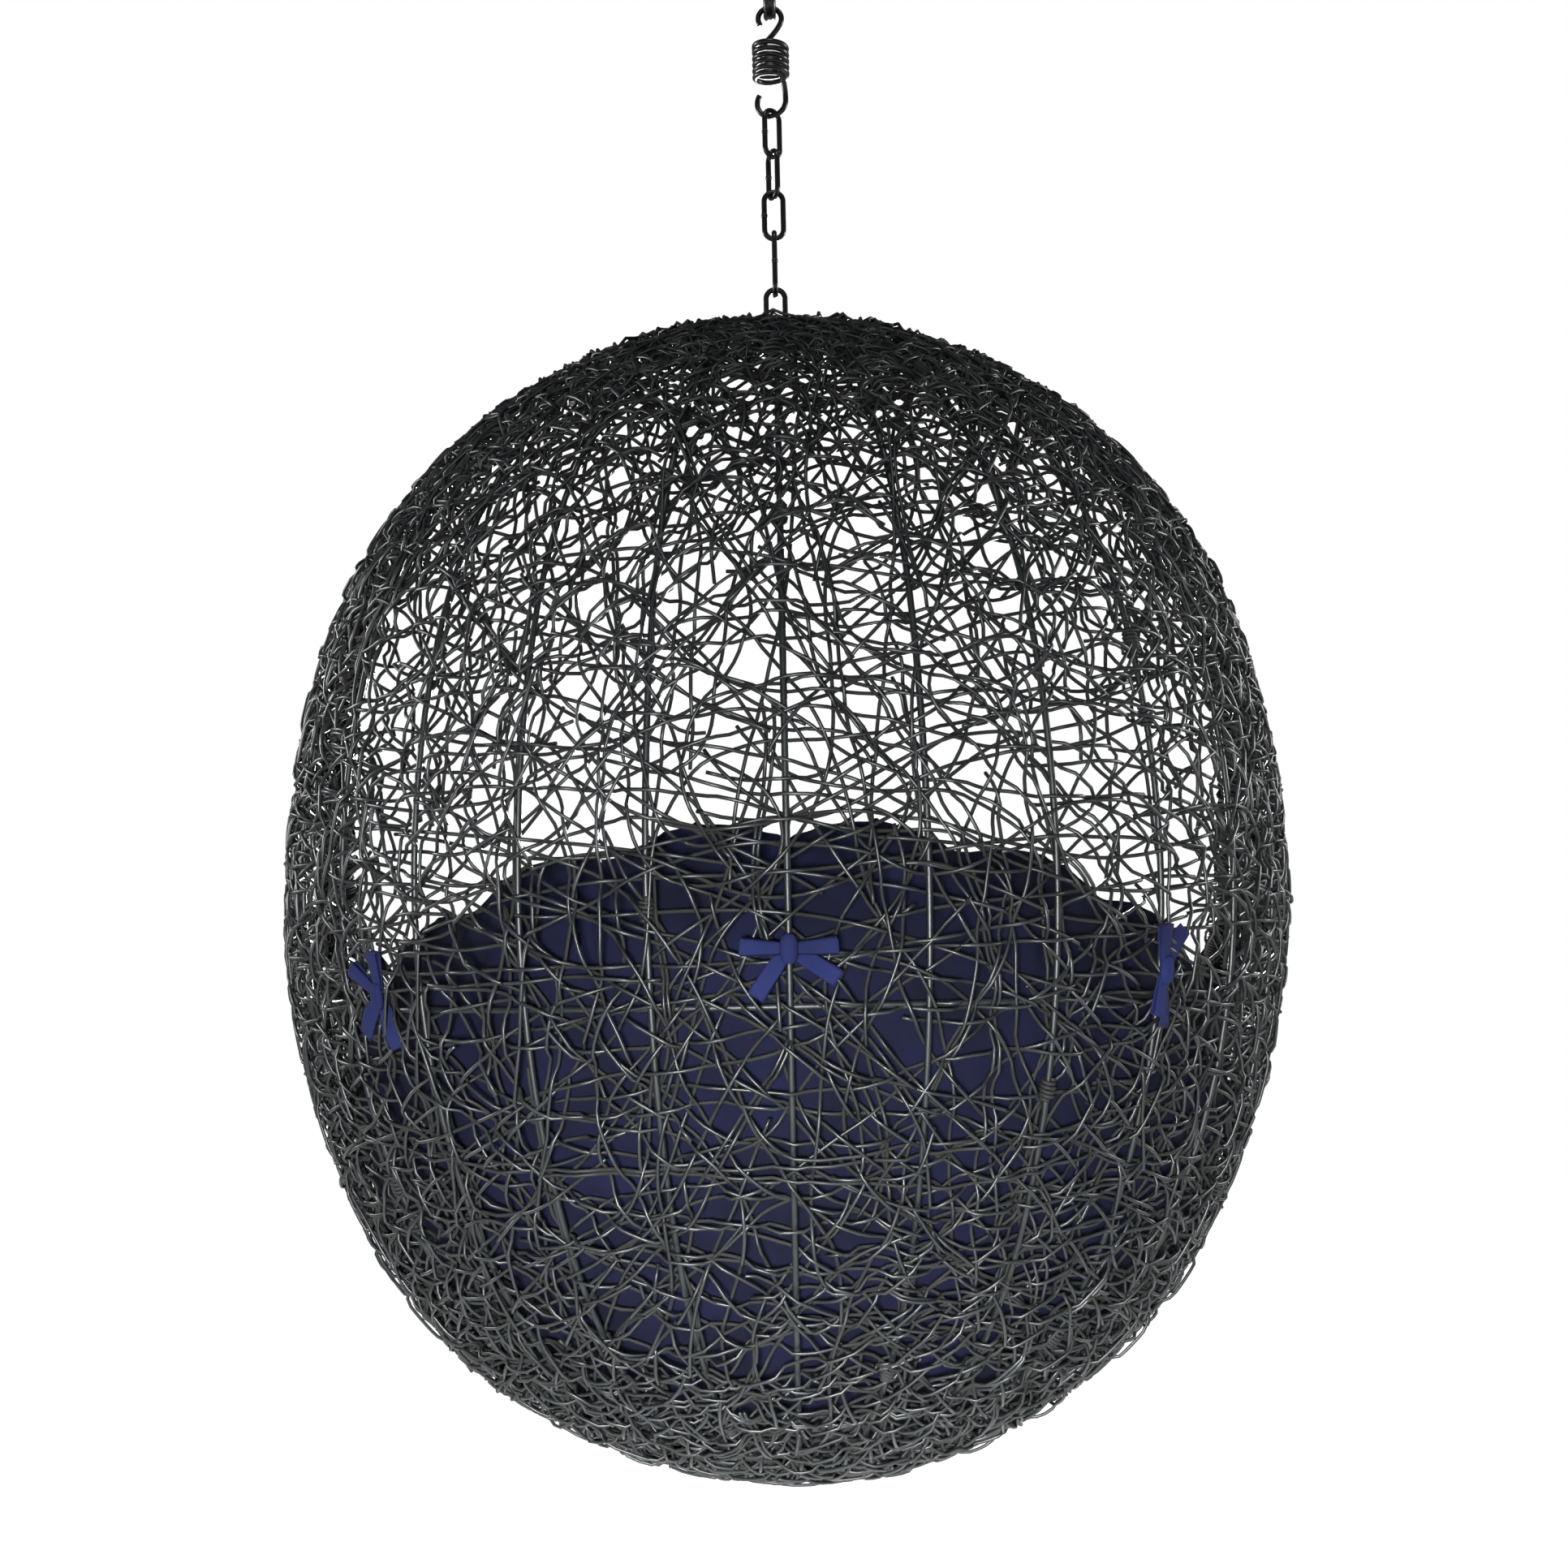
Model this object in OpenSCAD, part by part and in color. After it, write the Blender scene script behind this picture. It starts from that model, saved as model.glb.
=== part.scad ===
// Hanging egg chair: a woven basket on a welded rod frame, hung from a spring and a short chain.
// Millimetres. The origin is where the hanger link rests on whatever holds the chair up.
// +Z is up and the chair's open front faces -Y.

/* [Basket shape] */
// Half of the frame's width, to the middle of the ribs
frame_half_w = 492; // [420:1:560]
// Height of the frame's crown above its widest level
crown_h = 571; // [520:1:700]
// Depth of the frame's base below its widest level
base_h = 574; // [520:1:700]
// Crown's radius as a multiple of an ellipse's
crown_fullness = 1.13; // [0.9:0.01:1.13]
// Base's radius as a multiple of an ellipse's
base_fullness = 1.105; // [0.9:0.005:1.12]
// How far the top of the opening lies behind the basket's axis
rim_set_back = 10; // [0:1:40]
// How far the opening's edge lies in front of the axis at the widest level
rim_mid_forward = 130; // [80:1:180]
// Height of the seat's front lip above the base
lip_rise = 124; // [80:1:200]
// How far the basket leans back on its eye, in degrees
basket_lean = 5.8; // [0:0.1:12]

/* [Frame rods] */
// Thickness of a rib
rib_d = 6; // [4:0.5:9]
// Thickness of the seat hoop
hoop_d = 6; // [4:0.5:9]
// Depth of the seat hoop below the widest level
hoop_drop = 107; // [60:1:200]
// Radius of the ring that the ribs end on at the base
base_ring_r = 85; // [70:1:120]
// Thickness of the base ring
base_ring_d = 8; // [6:0.5:12]
// Thickness of the tube round the opening
rim_d = 22; // [16:0.5:30]
// Thickness of the strand wound over the rim tube
wrap_t = 3; // [2:0.5:5]
// Radius of the crown plate that the back ribs end on
crown_plate_r = 62; // [55:1:90]
// Thickness of the crown plate
crown_plate_t = 4; // [3:0.5:6]
// Width of the tongue that joins the crown plate to the rim tube
crown_tongue_w = 34; // [20:1:40]

/* [Wicker] */
// Thickness of the woven wall
wicker_t = 4; // [3:0.5:8]

/* [Chain] */
// Thickness of the chain's wire
chain_wire_d = 5.5; // [4:0.5:7]
// Outside length of a link
link_l = 56; // [48:1:70]
// Outside width of a link
link_w = 25; // [22:1:32]
// Outside length of the last link
long_link_l = 72; // [60:1:90]
// Bulge of a link's weld over its wire
weld_bulge = 0.6; // [0:0.1:1.2]
// Height of the eye over the middle of the rim tube
eye_h = 46; // [38:1:70]

/* [Spring] */
// Thickness of the spring's wire
spring_wire_d = 5.6; // [3:0.2:6]
// Outside diameter of the coil
coil_od = 39; // [34:1:50]
// Height of the coil between the middles of its first and last turns
coil_h = 42; // [38:1:60]
// Turns in the coil
coil_turns = 5.25; // [4.25:1:6.25]
// Outside width of the hook on top
top_hook_w = 30; // [28:0.2:34]
// Outside width of the hook below
low_hook_w = 36.8; // [30:0.2:38]

/* [Hanger] */
// Outside length of the hanger link
hanger_l = 60; // [54:1:90]
// Outside width of the hanger link
hanger_w = 42; // [36:1:60]
// Width of the hanger link's flat bar
hanger_bar_w = 13; // [10:0.5:14]
// Thickness of the hanger link's flat bar
hanger_bar_t = 9; // [7:0.5:10]

/* [Cushion] */
// Thickness of the cushion at its crown
cushion_t = 112; // [80:1:140]
// Length of the cushion from the base up the back, along the basket's wall
cushion_back_l = 905; // [760:1:940]
// Length of the cushion from the base to the front, along the basket's wall
cushion_front_l = 318; // [250:1:340]
// Lobes round the cushion's edge
cushion_lobes = 18; // [12:6:24]
// Depth of the scallops between the lobes
scallop = 20; // [0:1:30]
// Depth of the sewn channels between the lobes
channel = 22; // [0:1:30]
// Depth of the tufts
tuft = 34; // [0:1:40]

/* [Ties] */
// Width of the ribbon in a tie
ribbon_w = 16; // [10:1:22]
// Thickness of the ribbon
ribbon_t = 1.6; // [1:0.2:3]
// Length of a bow's loop
bow_loop_l = 40; // [28:1:55]

/* [Clearances] */
// Gap between pieces that rest on each other
seat_gap = 0.3; // [0.2:0.05:0.5]

/* [Hidden] */
// Pairs of ribs between the one at the back and the one in front
rib_pairs = 12;

// Colours
steel_black = "#26282a";
rod_grey = "#3b4a4c";
wicker_grey = "#34373a";
navy = "#232a5c";

// Facets: of a wire's section, of a wire's path, of a large curve and of the rim's section
wire_fn = 24;
path_fn = 120;
wall_fn = 240;
cutter_fn = 1440;
tube_sides = 10;
rim_rings = 96;

// Turn of each chain link about the vertical, in degrees from face-on
link_turns = [40, -62, 0, 90];
// Turn of the spring's lower hook, which stands more nearly square to the first link
low_hook_turn = -18;

function unit(v) = v / norm(v);

// ---- Basket profile ----
// Each half of the profile is two arcs that meet without a corner: an end arc centred on the axis
// and a side arc centred on the widest level. An arc set is [end radius, side radius,
// side centre's r, end centre's height, angle of the meeting point from the pole, in degrees].
function arc_set(h, fullness) =
    let (w = frame_half_w,
         r_end = fullness * w * w / h,
         r_side = (w * w + h * h - 2 * h * r_end) / (2 * (w - r_end)))
    [r_end, r_side, w - r_side, h - r_end, atan2(r_side - w, h - r_end)];
CROWN = arc_set(crown_h, crown_fullness);
BASE = arc_set(base_h, base_fullness);

// Lengths along a meridian from the base's pole to the end of each arc
function arc_l(r, degrees) = r * degrees * PI / 180;
meet_1 = arc_l(BASE[0], BASE[4]);
meet_2 = meet_1 + arc_l(BASE[1], 90 - BASE[4]);
meet_3 = meet_2 + arc_l(CROWN[1], 90 - CROWN[4]);

// Slope of the meridian at the length s from the base's pole: 0 at the base, 90 at the widest, 180 on top
function slope_at(s) =
    s < meet_1 ? s / BASE[0] * 180 / PI :
    s < meet_2 ? BASE[4] + (s - meet_1) / BASE[1] * 180 / PI :
    s < meet_3 ? 90 + (s - meet_2) / CROWN[1] * 180 / PI :
    180 - CROWN[4] + (s - meet_3) / CROWN[0] * 180 / PI;

// Point [r, z] at the length s from the base's pole, moved outwards by off
function meridian(s, off = 0) =
    let (a = slope_at(s))
    s < meet_1 ? [(BASE[0] + off) * sin(a), -BASE[3] - (BASE[0] + off) * cos(a)] :
    s < meet_2 ? [BASE[2] + (BASE[1] + off) * sin(a), -(BASE[1] + off) * cos(a)] :
    s < meet_3 ? [CROWN[2] + (CROWN[1] + off) * sin(a), -(CROWN[1] + off) * cos(a)] :
    [(CROWN[0] + off) * sin(a), CROWN[3] - (CROWN[0] + off) * cos(a)];

// Radius of the frame at the height z over the widest level
function half_radius(z, arcs) =
    z < arcs[1] * sin(90 - arcs[4])
        ? arcs[2] + sqrt(arcs[1] * arcs[1] - z * z)
        : sqrt(max(0, arcs[0] * arcs[0] - pow(z - arcs[3], 2)));
function frame_r(z) = z < 0 ? half_radius(-z, BASE) : half_radius(z, CROWN);

// ---- Opening ----
// Seen from the side, the opening's edge is one arc through its top, its middle and its lip.
lip_z = lip_rise - base_h;
rim_top_z = CROWN[3] + sqrt(CROWN[0] * CROWN[0] - rim_set_back * rim_set_back);
RIM_TOP = [rim_set_back, rim_top_z];
RIM_MID = [-rim_mid_forward, 0];
RIM_LIP = [-frame_r(lip_z), lip_z];
function circle_centre(a, b, c) =
    let (d = 2 * (a[0] * (b[1] - c[1]) + b[0] * (c[1] - a[1]) + c[0] * (a[1] - b[1])))
    [(a * a * (b[1] - c[1]) + b * b * (c[1] - a[1]) + c * c * (a[1] - b[1])) / d,
     (a * a * (c[0] - b[0]) + b * b * (a[0] - c[0]) + c * c * (b[0] - a[0])) / d];
rim_c = circle_centre(RIM_TOP, RIM_MID, RIM_LIP);
rim_arc_r = norm(RIM_TOP - rim_c);
function rim_y(z) = rim_c[0] + sqrt(rim_arc_r * rim_arc_r - pow(z - rim_c[1], 2));

// Point of the opening's edge, a full turn starting on top
function rim_point(a) =
    let (z = (rim_top_z + lip_z) / 2 + (rim_top_z - lip_z) / 2 * cos(a),
         y = rim_y(z),
         x = sqrt(max(0, pow(frame_r(z), 2) - y * y)))
    [sin(a) < 0 ? -x : x, y, z];

// ---- Clearances that follow from the sizes ----
wrap_r = rim_d / 2 + wrap_t;
rim_clear = wrap_r + seat_gap;
wicker_in = rib_d / 2 + seat_gap;
wicker_out = wicker_in + wicker_t;
hoop_in = (rib_d + hoop_d) / 2 + seat_gap;
base_ring_in = (rib_d + base_ring_d) / 2 + seat_gap;
cushion_in = max(hoop_in + hoop_d / 2, base_ring_in + base_ring_d / 2) + seat_gap;
rib_base_r = base_ring_r - base_ring_d;
// A rib's square end tips over the plate's edge by a little
rib_crown_r = crown_plate_r + seat_gap + rib_d / 2 * crown_plate_r / CROWN[0];
rib_step = 180 / (rib_pairs + 1);

// ---- Heights down the chain, from the hanger link's inner top ----
// Distance between the ends of two linked pieces of wire that rest on each other
function linked(d_above, d_below) = d_above + d_below + seat_gap;
hanger_end_z = hanger_bar_t - hanger_l;
hanger_seat_z = hanger_end_z + hanger_bar_t;
top_hook_r = (top_hook_w - spring_wire_d) / 2;
// The bar's rounded shoulders meet the hook's inside before its crown does
shoulder_x = (hanger_bar_w - hanger_bar_t) / 2;
hook_room = top_hook_r - spring_wire_d / 2 - hanger_bar_t / 2;
hook_lift = hook_room - sqrt(pow(hook_room - seat_gap, 2) - shoulder_x * shoulder_x);
top_hook_z = hanger_seat_z + hook_lift + spring_wire_d / 2 - top_hook_r;
coil_r = (coil_od - spring_wire_d) / 2;
// Rise of a hook's arc centre over the end of the coil
top_hook_reach = 27.4;
low_hook_reach = 23;
coil_top_z = top_hook_z - top_hook_reach;
coil_low_z = coil_top_z - coil_h;
low_hook_r = (low_hook_w - spring_wire_d) / 2;
low_hook_z = coil_low_z - low_hook_reach;
low_hook_end_z = low_hook_z - low_hook_r - spring_wire_d / 2;
link_1_top = low_hook_end_z + linked(spring_wire_d, chain_wire_d);
function link_top(n) = link_1_top - n * (link_l - linked(chain_wire_d, chain_wire_d));
long_link_end = link_top(3) - long_link_l;
eye_top = long_link_end + linked(chain_wire_d, chain_wire_d);
// The middle of the eye's wire on top: the basket leans about it
eye_z = eye_top - chain_wire_d / 2;
eye_leg_x = (link_w - chain_wire_d) / 2;

echo(eye_z = eye_z, link_1_top = link_1_top, low_hook_end_z = low_hook_end_z);
echo(top_hook_z = top_hook_z, coil_top_z = coil_top_z, coil_low_z = coil_low_z, low_hook_z = low_hook_z);

// ---- Swept tubes ----
// A tube is one closed polyhedron: a ring of points round each point of its path.
// The rings stand square to the path, with their first side turned towards ref.
function path_dir(p, i) =
    unit(p[min(i + 1, len(p) - 1)] - p[max(i - 1, 0)]);
function ring(c, dir, ref, r, sides) =
    let (u = unit(ref - (ref * dir) * dir), v = cross(dir, u))
    [for (k = [0:sides - 1]) c + r * (cos(360 * k / sides) * u + sin(360 * k / sides) * v)];
function band(rings, sides, from, back = false) =
    [for (i = [0:rings - 2], k = [0:sides - 1])
        let (a = from + i * sides + k,
             b = from + i * sides + (k + 1) % sides,
             c = b + sides,
             d = a + sides)
        each (back ? [[a, b, c], [a, c, d]] : [[a, c, b], [a, d, c]])];

// A direction carried along a path without twisting
function carried(p, ref, i = 0) =
    let (dir = path_dir(p, i), u = unit(ref - (ref * dir) * dir))
    i == len(p) - 1 ? [u] : concat([u], carried(p, u, i + 1));

module open_tube(p, refs, r, sides) {
    n = len(p);
    points = [for (i = [0:n - 1]) each ring(p[i], path_dir(p, i), refs[i], r, sides)];
    cap_a = [for (k = [1:sides - 2]) [0, k, k + 1]];
    last = (n - 1) * sides;
    cap_b = [for (k = [1:sides - 2]) [last, last + k + 1, last + k]];
    polyhedron(points, concat(band(n, sides, 0), cap_a, cap_b), convexity = 12);
}

function closed_dir(p, i) =
    unit(p[(i + 1) % len(p)] - p[(i + len(p) - 1) % len(p)]);

module closed_tube(p, ref, r, sides) {
    n = len(p);
    points = [for (i = [0:n - 1]) each ring(p[i], closed_dir(p, i), ref, r, sides)];
    faces = [for (i = [0:n - 1], k = [0:sides - 1])
        let (j = (i + 1) % n,
             a = i * sides + k,
             b = i * sides + (k + 1) % sides,
             c = j * sides + (k + 1) % sides,
             d = j * sides + k)
        each [[a, c, b], [a, d, c]]];
    polyhedron(points, faces, convexity = 8);
}

// A sleeve over part of a closed path, from ring `first` to ring `last`
module sleeve(p, ref, r_in, r_out, sides, first, last) {
    n = last - first + 1;
    outer = [for (i = [first:last]) each ring(p[i], closed_dir(p, i), ref, r_out, sides)];
    inner = [for (i = [first:last]) each ring(p[i], closed_dir(p, i), ref, r_in, sides)];
    shift = n * sides;
    end = (n - 1) * sides;
    cap_a = [for (k = [0:sides - 1])
        let (j = (k + 1) % sides) each [[k, j, shift + j], [k, shift + j, shift + k]]];
    cap_b = [for (k = [0:sides - 1])
        let (j = (k + 1) % sides)
        each [[end + k, shift + end + j, end + j], [end + k, shift + end + k, shift + end + j]]];
    polyhedron(concat(outer, inner),
        concat(band(n, sides, 0), band(n, sides, shift, true), cap_a, cap_b), convexity = 8);
}

// ---- Wire shapes ----
// An arc of round wire in the plane of X and Z, from angle a0 to a1 about its centre
module wire_arc(r, d, a0, a1)
    rotate([90, 0, 0]) rotate([0, 0, a0])
        rotate_extrude(angle = a1 - a0, $fn = path_fn)
            translate([r, 0]) circle(d = d, $fn = wire_fn);

// A chain link in the plane of X and Z, with its outer top at the height z = 0
module link(l, w, d) {
    r = (w - d) / 2;
    leg = l - w;
    for (side = [-1, 1]) translate([side * r, 0, -w / 2 - leg])
        cylinder(d = d, h = leg, $fn = wire_fn);
    translate([0, 0, -w / 2]) wire_arc(r, d, 0, 180);
    translate([0, 0, -w / 2 - leg]) wire_arc(r, d, 180, 360);
    translate([r, 0, -l / 2]) sphere(d = d + 2 * weld_bulge, $fn = wire_fn);
}

module chain_link(n, l)
    color(steel_black)
        translate([0, 0, link_top(n)]) rotate([0, 0, link_turns[n]]) link(l, link_w, chain_wire_d);

// The hanger link lies in the plane of Y and Z, so the hook's arc crosses its lower bend.
module hanger_link() {
    r = (hanger_w - hanger_bar_t) / 2;
    leg = hanger_l - hanger_w;
    module bar_section() {
        for (side = [-1, 1]) translate([0, side * shoulder_x])
            circle(d = hanger_bar_t, $fn = wire_fn);
        square([hanger_bar_t, 2 * shoulder_x], center = true);
    }
    module bend() rotate_extrude(angle = 180, $fn = path_fn) translate([r, 0]) bar_section();
    color(steel_black)
        translate([0, 0, hanger_bar_t - hanger_w / 2]) rotate([90, 0, 90]) {
            bend();
            translate([0, -leg, 0]) rotate([0, 0, 180]) bend();
            for (side = [-1, 1]) translate([side * r, -leg, 0]) rotate([-90, 0, 0])
                linear_extrude(leg) bar_section();
        }
}

// ---- Spring ----
// One wire, in three lengths that meet end to end: hook, coil, hook. The coil winds down from the
// +X side and ends at the back.
coil_rings = 8;
coil_sides = 6;
coil_steps = round(coil_turns * coil_rings);
function coil_point(i) =
    let (a = 360 * coil_turns * i / coil_steps)
    [coil_r * cos(a), coil_r * sin(a), coil_top_z - coil_h * i / coil_steps];
function coil_dir(i) =
    let (a = 360 * coil_turns * i / coil_steps,
         fall = coil_h / (2 * PI * coil_turns))
    unit([-coil_r * sin(a), coil_r * cos(a), -fall]);
// The ends run straight for one thickness of the wire
COIL_LEAD = coil_point(0) - spring_wire_d * coil_dir(0);
COIL_TAIL = coil_point(coil_steps) + spring_wire_d * coil_dir(coil_steps);
COIL_PATH = concat([COIL_LEAD], [for (i = [0:coil_steps]) coil_point(i)], [COIL_TAIL]);

// Least gap of the coil to itself, between points at least half a turn apart
coil_gap = min([for (i = [0:coil_steps], j = [i + coil_rings / 2:coil_steps])
    norm(coil_point(i) - coil_point(j))]) - spring_wire_d;
echo(coil_gap = coil_gap);

module spring_coil()
    color(steel_black)
        open_tube(COIL_PATH, [for (p = COIL_PATH) [p[0], p[1], 0]], spring_wire_d / 2, coil_sides);

// A hook's path leaves the coil's end on a smooth curve, climbs to its arc and turns round it
function bezier(a, b, c, d, t) =
    pow(1 - t, 3) * a + 3 * pow(1 - t, 2) * t * b + 3 * (1 - t) * t * t * c + t * t * t * d;
hook_curve_steps = 7;
hook_arc_steps = 14;
hook_sides = 10;
// Angle that a hook's arc turns through, and how straight its start is
hook_turn = 215;
hook_lead = 2;
hook_pull = 12;
function hook_path(from, dir, centre, r, up, turn, pull) =
    let (start = centre - r * [cos(turn), sin(turn), 0], bend = from + hook_lead * dir)
    concat(
        [from],
        [for (i = [0:hook_curve_steps - 1])
            bezier(bend, bend + pull * dir, start - [0, 0, up * hook_pull], start,
                i / hook_curve_steps)],
        [for (i = [0:hook_arc_steps])
            let (a = hook_turn * i / hook_arc_steps, x = -r * cos(a))
            centre + [x * cos(turn), x * sin(turn), up * r * sin(a)]]);
TOP_HOOK_PATH = hook_path(COIL_LEAD - seat_gap * coil_dir(0), -coil_dir(0),
    [0, 0, top_hook_z], top_hook_r, 1, 0, 12);
LOW_HOOK_PATH = hook_path(COIL_TAIL + seat_gap * coil_dir(coil_steps), coil_dir(coil_steps),
    [0, 0, low_hook_z], low_hook_r, -1, low_hook_turn, 5);

module hook(path)
    color(steel_black)
        open_tube(path, carried(path, [1, 0, 0]), spring_wire_d / 2, hook_sides);

module spring_top_hook() hook(TOP_HOOK_PATH);
module spring_bottom_hook() hook(LOW_HOOK_PATH);

// ---- Basket ----
// What follows is drawn about the basket's own middle, then leaned and hung on its eye.
module in_basket()
    translate([0, 0, eye_z]) rotate([-basket_lean, 0, 0])
        translate([0, -rim_set_back, -rim_top_z - eye_h]) children();

// Everything in front of the opening's edge, and by `back` behind it
module front_cut(back)
    rotate([90, 0, 90]) linear_extrude(4 * frame_half_w, center = true) intersection() {
        translate(rim_c) circle(r = rim_arc_r + back, $fn = cutter_fn);
        translate([-2 * frame_half_w, -1.5 * base_h]) square([4 * frame_half_w, 1.5 * (base_h + crown_h)]);
    }

// How far a rod's end stands off the rim's wrap: its middle, its direction and its thickness
function rim_room(c, dir, d) =
    let (v = [c[1], c[2]] - rim_c, lean = v / norm(v) * [dir[1], dir[2]])
    norm(v) - d / 2 * sqrt(1 - lean * lean) - rim_arc_r - rim_clear;

// Where f falls to zero between lo and hi
function crossing(f, lo, hi, steps = 40) =
    let (mid = (lo + hi) / 2)
    steps == 0 ? lo : f(mid) > 0 ? crossing(f, mid, hi, steps - 1) : crossing(f, lo, mid, steps - 1);

module hanging_eye() {
    leg = eye_h - rim_d / 2 * cos(180 / tube_sides) - seat_gap - eye_leg_x;
    color(steel_black) in_basket() translate([0, rim_set_back, rim_top_z + eye_h - eye_leg_x]) {
        wire_arc(eye_leg_x, chain_wire_d, 0, 180);
        for (side = [-1, 1]) translate([side * eye_leg_x, 0, -leg])
            cylinder(d = chain_wire_d, h = leg, $fn = wire_fn);
    }
}

// The plate lies level at the ribs' ends, and its tongue reaches the rim tube.
module crown_plate() {
    z = CROWN[3] + sqrt(pow(CROWN[0], 2) - crown_plate_r * crown_plate_r);
    reach = rim_set_back + rim_d / 2 + seat_gap;
    edge = rim_set_back + rim_clear + 1;
    color(rod_grey) in_basket() translate([0, 0, z - crown_plate_t / 2])
        linear_extrude(crown_plate_t) {
            intersection() {
                circle(r = crown_plate_r, $fn = path_fn);
                translate([-crown_plate_r, edge]) square([2 * crown_plate_r, crown_plate_r]);
            }
            translate([-crown_tongue_w / 2, reach]) square([crown_tongue_w, edge - reach + 1]);
        }
}

RIM_PATH = [for (i = [0:rim_rings - 1]) rim_point(360 * i / rim_rings)];
rim_ref = [0, 1, 0];

module rim_tube() color(rod_grey) in_basket() closed_tube(RIM_PATH, rim_ref, rim_d / 2, tube_sides);

// The winding stops short of the eye on both sides.
module rim_wrap()
    color(wicker_grey) in_basket()
        sleeve(RIM_PATH, rim_ref, rim_d / 2 + seat_gap, wrap_r, tube_sides, 1, rim_rings - 1);

// The arcs of a meridian: its centre's r and z, its radius, and the angles it runs between.
// Where two arcs meet, one is thinner by `neck` and runs a little way into the other.
neck = 0.2;
lap = 1.5;
function lap_a(r) = lap / r * 180 / PI;
ARCS = [[0, -BASE[3], BASE[0], -90, BASE[4] - 90],
        [BASE[2], 0, BASE[1], BASE[4] - 90, 0],
        [CROWN[2], 0, CROWN[1], 0, 90 - CROWN[4]],
        [0, CROWN[3], CROWN[0], 90 - CROWN[4], 90]];
function is_thin(i) = i % 2 == 1;

// A rib follows a meridian from the base ring to the crown plate, or to the rim where that is nearer.
rib_from = arc_l(BASE[0], asin(rib_base_r / BASE[0]));
rib_to = meet_3 + arc_l(CROWN[0], CROWN[4] - asin(rib_crown_r / CROWN[0]));
function rib_room(s, a) =
    let (p = meridian(s), slope = slope_at(s))
    rim_room([p[0] * sin(a), p[0] * cos(a), p[1]],
        [cos(slope) * sin(a), cos(slope) * cos(a), sin(slope)], rib_d);
function rib_end(a) =
    rib_room(rib_to, a) > 0 ? rib_to : crossing(function (s) rib_room(s, a), rib_from, rib_to);

module rib(k) {
    a = k * rib_step;
    from = slope_at(rib_from) - 90;
    to = slope_at(rib_end(a)) - 90;
    color(rod_grey) in_basket() rotate([0, 0, 90 - a])
        for (i = [0:3]) {
            arc = ARCS[i];
            run_in = is_thin(i) ? lap_a(arc[2]) : 0;
            if (to > arc[3] + 2 * lap_a(arc[2]))
                translate([arc[0], 0, arc[1]])
                    wire_arc(arc[2], rib_d - (is_thin(i) ? neck : 0),
                        max(from, arc[3] - run_in), min(to, arc[4] + run_in));
        }
}

// A hoop lies inside the ribs, level, through half a turn `a` to both sides of the back.
module hoop(p, d, a)
    translate([0, 0, p[1]]) rotate([0, 0, 90 - a]) rotate_extrude(angle = 2 * a, $fn = wall_fn)
        translate([p[0], 0]) circle(d = d, $fn = wire_fn);
// Length along the wall to a height below the widest level
function wall_length(drop) = meet_2 - arc_l(BASE[1], asin(drop / BASE[1]));

// The seat hoop ends at the rim on both sides.
module seat_hoop() {
    p = meridian(wall_length(hoop_drop), -hoop_in);
    end = crossing(function (a)
        rim_room([p[0] * sin(a), p[0] * cos(a), p[1]], [cos(a), -sin(a), 0], hoop_d), 0, 180);
    color(rod_grey) in_basket() hoop(p, hoop_d, end);
}

module base_ring()
    color(rod_grey) in_basket()
        hoop(meridian(arc_l(BASE[0], asin(base_ring_r / BASE[0])), -base_ring_in), base_ring_d, 180);

// A slice of the wall seen in section, along one of the profile's arcs
module wall_slice(i) {
    arc = ARCS[i];
    r = arc[2];
    far = 2 * r;
    thin = is_thin(i) ? neck / 2 : 0;
    run_in = is_thin(i) ? lap_a(r) : 0;
    a0 = arc[3] - run_in;
    a1 = min(90, arc[4] + run_in);
    translate([arc[0], arc[1]]) intersection() {
        difference() {
            circle(r = r + wicker_out - thin, $fn = wall_fn);
            circle(r = r + wicker_in + thin, $fn = wall_fn);
        }
        polygon([[0, 0], far * [cos(a0), sin(a0)], far * [cos(a1), sin(a1)]]);
    }
}

// The woven wall as one thin shell just outside the ribs, open in front
module wicker_shell()
    color(wicker_grey) in_basket() difference() {
        rotate_extrude($fn = wall_fn) for (i = [0:3]) wall_slice(i);
        front_cut(rim_clear);
    }

// ---- Cushion ----
// A round pad laid in the bowl. Its points lie on meridians of the wall, at the share u of the way
// from the base to the edge. Its edge is scalloped, and channels and tufts pull its face in.
cushion_meridians = 3 * cushion_lobes;
cushion_steps = 10;
// How fast the edge falls from the back towards the front, and how blunt the edge is
edge_fall = 0.9;
edge_blunt = 5;
// Share of the way out at which the channels start, and at which the two rings of tufts lie
channel_from = 0.5;
tuft_rings = [0.3, 0.62];
tuft_spread = 0.11;
function lobe(a) = abs(sin(a * cushion_lobes / 2));
function cushion_l(a) =
    cushion_front_l + (cushion_back_l - cushion_front_l) * pow((1 + cos(a)) / 2, edge_fall)
    - scallop * (1 - lobe(a));
function bump(x, width) = exp(-pow(x / width, 2));
function tufting(u, a) = tuft * (bump(u - tuft_rings[0], tuft_spread) * pow(cos(a * cushion_lobes / 6), 8)
    + bump(u - tuft_rings[1], tuft_spread) * pow(cos(a * cushion_lobes / 2), 8));
function crowned(u) = sqrt(1 - pow(u, edge_blunt));
function cushion_thickness(u, a) =
    crowned(u) * (cushion_t - tufting(u, a)
        - channel * (1 - lobe(a)) * max(0, u - channel_from) / (1 - channel_from));
// The back face leaves the wall as it nears the edge
function cushion_back(u) = cushion_in + 0.4 * cushion_t * (1 - crowned(u));
function cushion_point(u, a, thick) =
    let (p = meridian(u * cushion_l(a), -cushion_back(u) - thick * cushion_thickness(u, a)))
    [p[0] * sin(a), p[0] * cos(a), p[1]];

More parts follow.
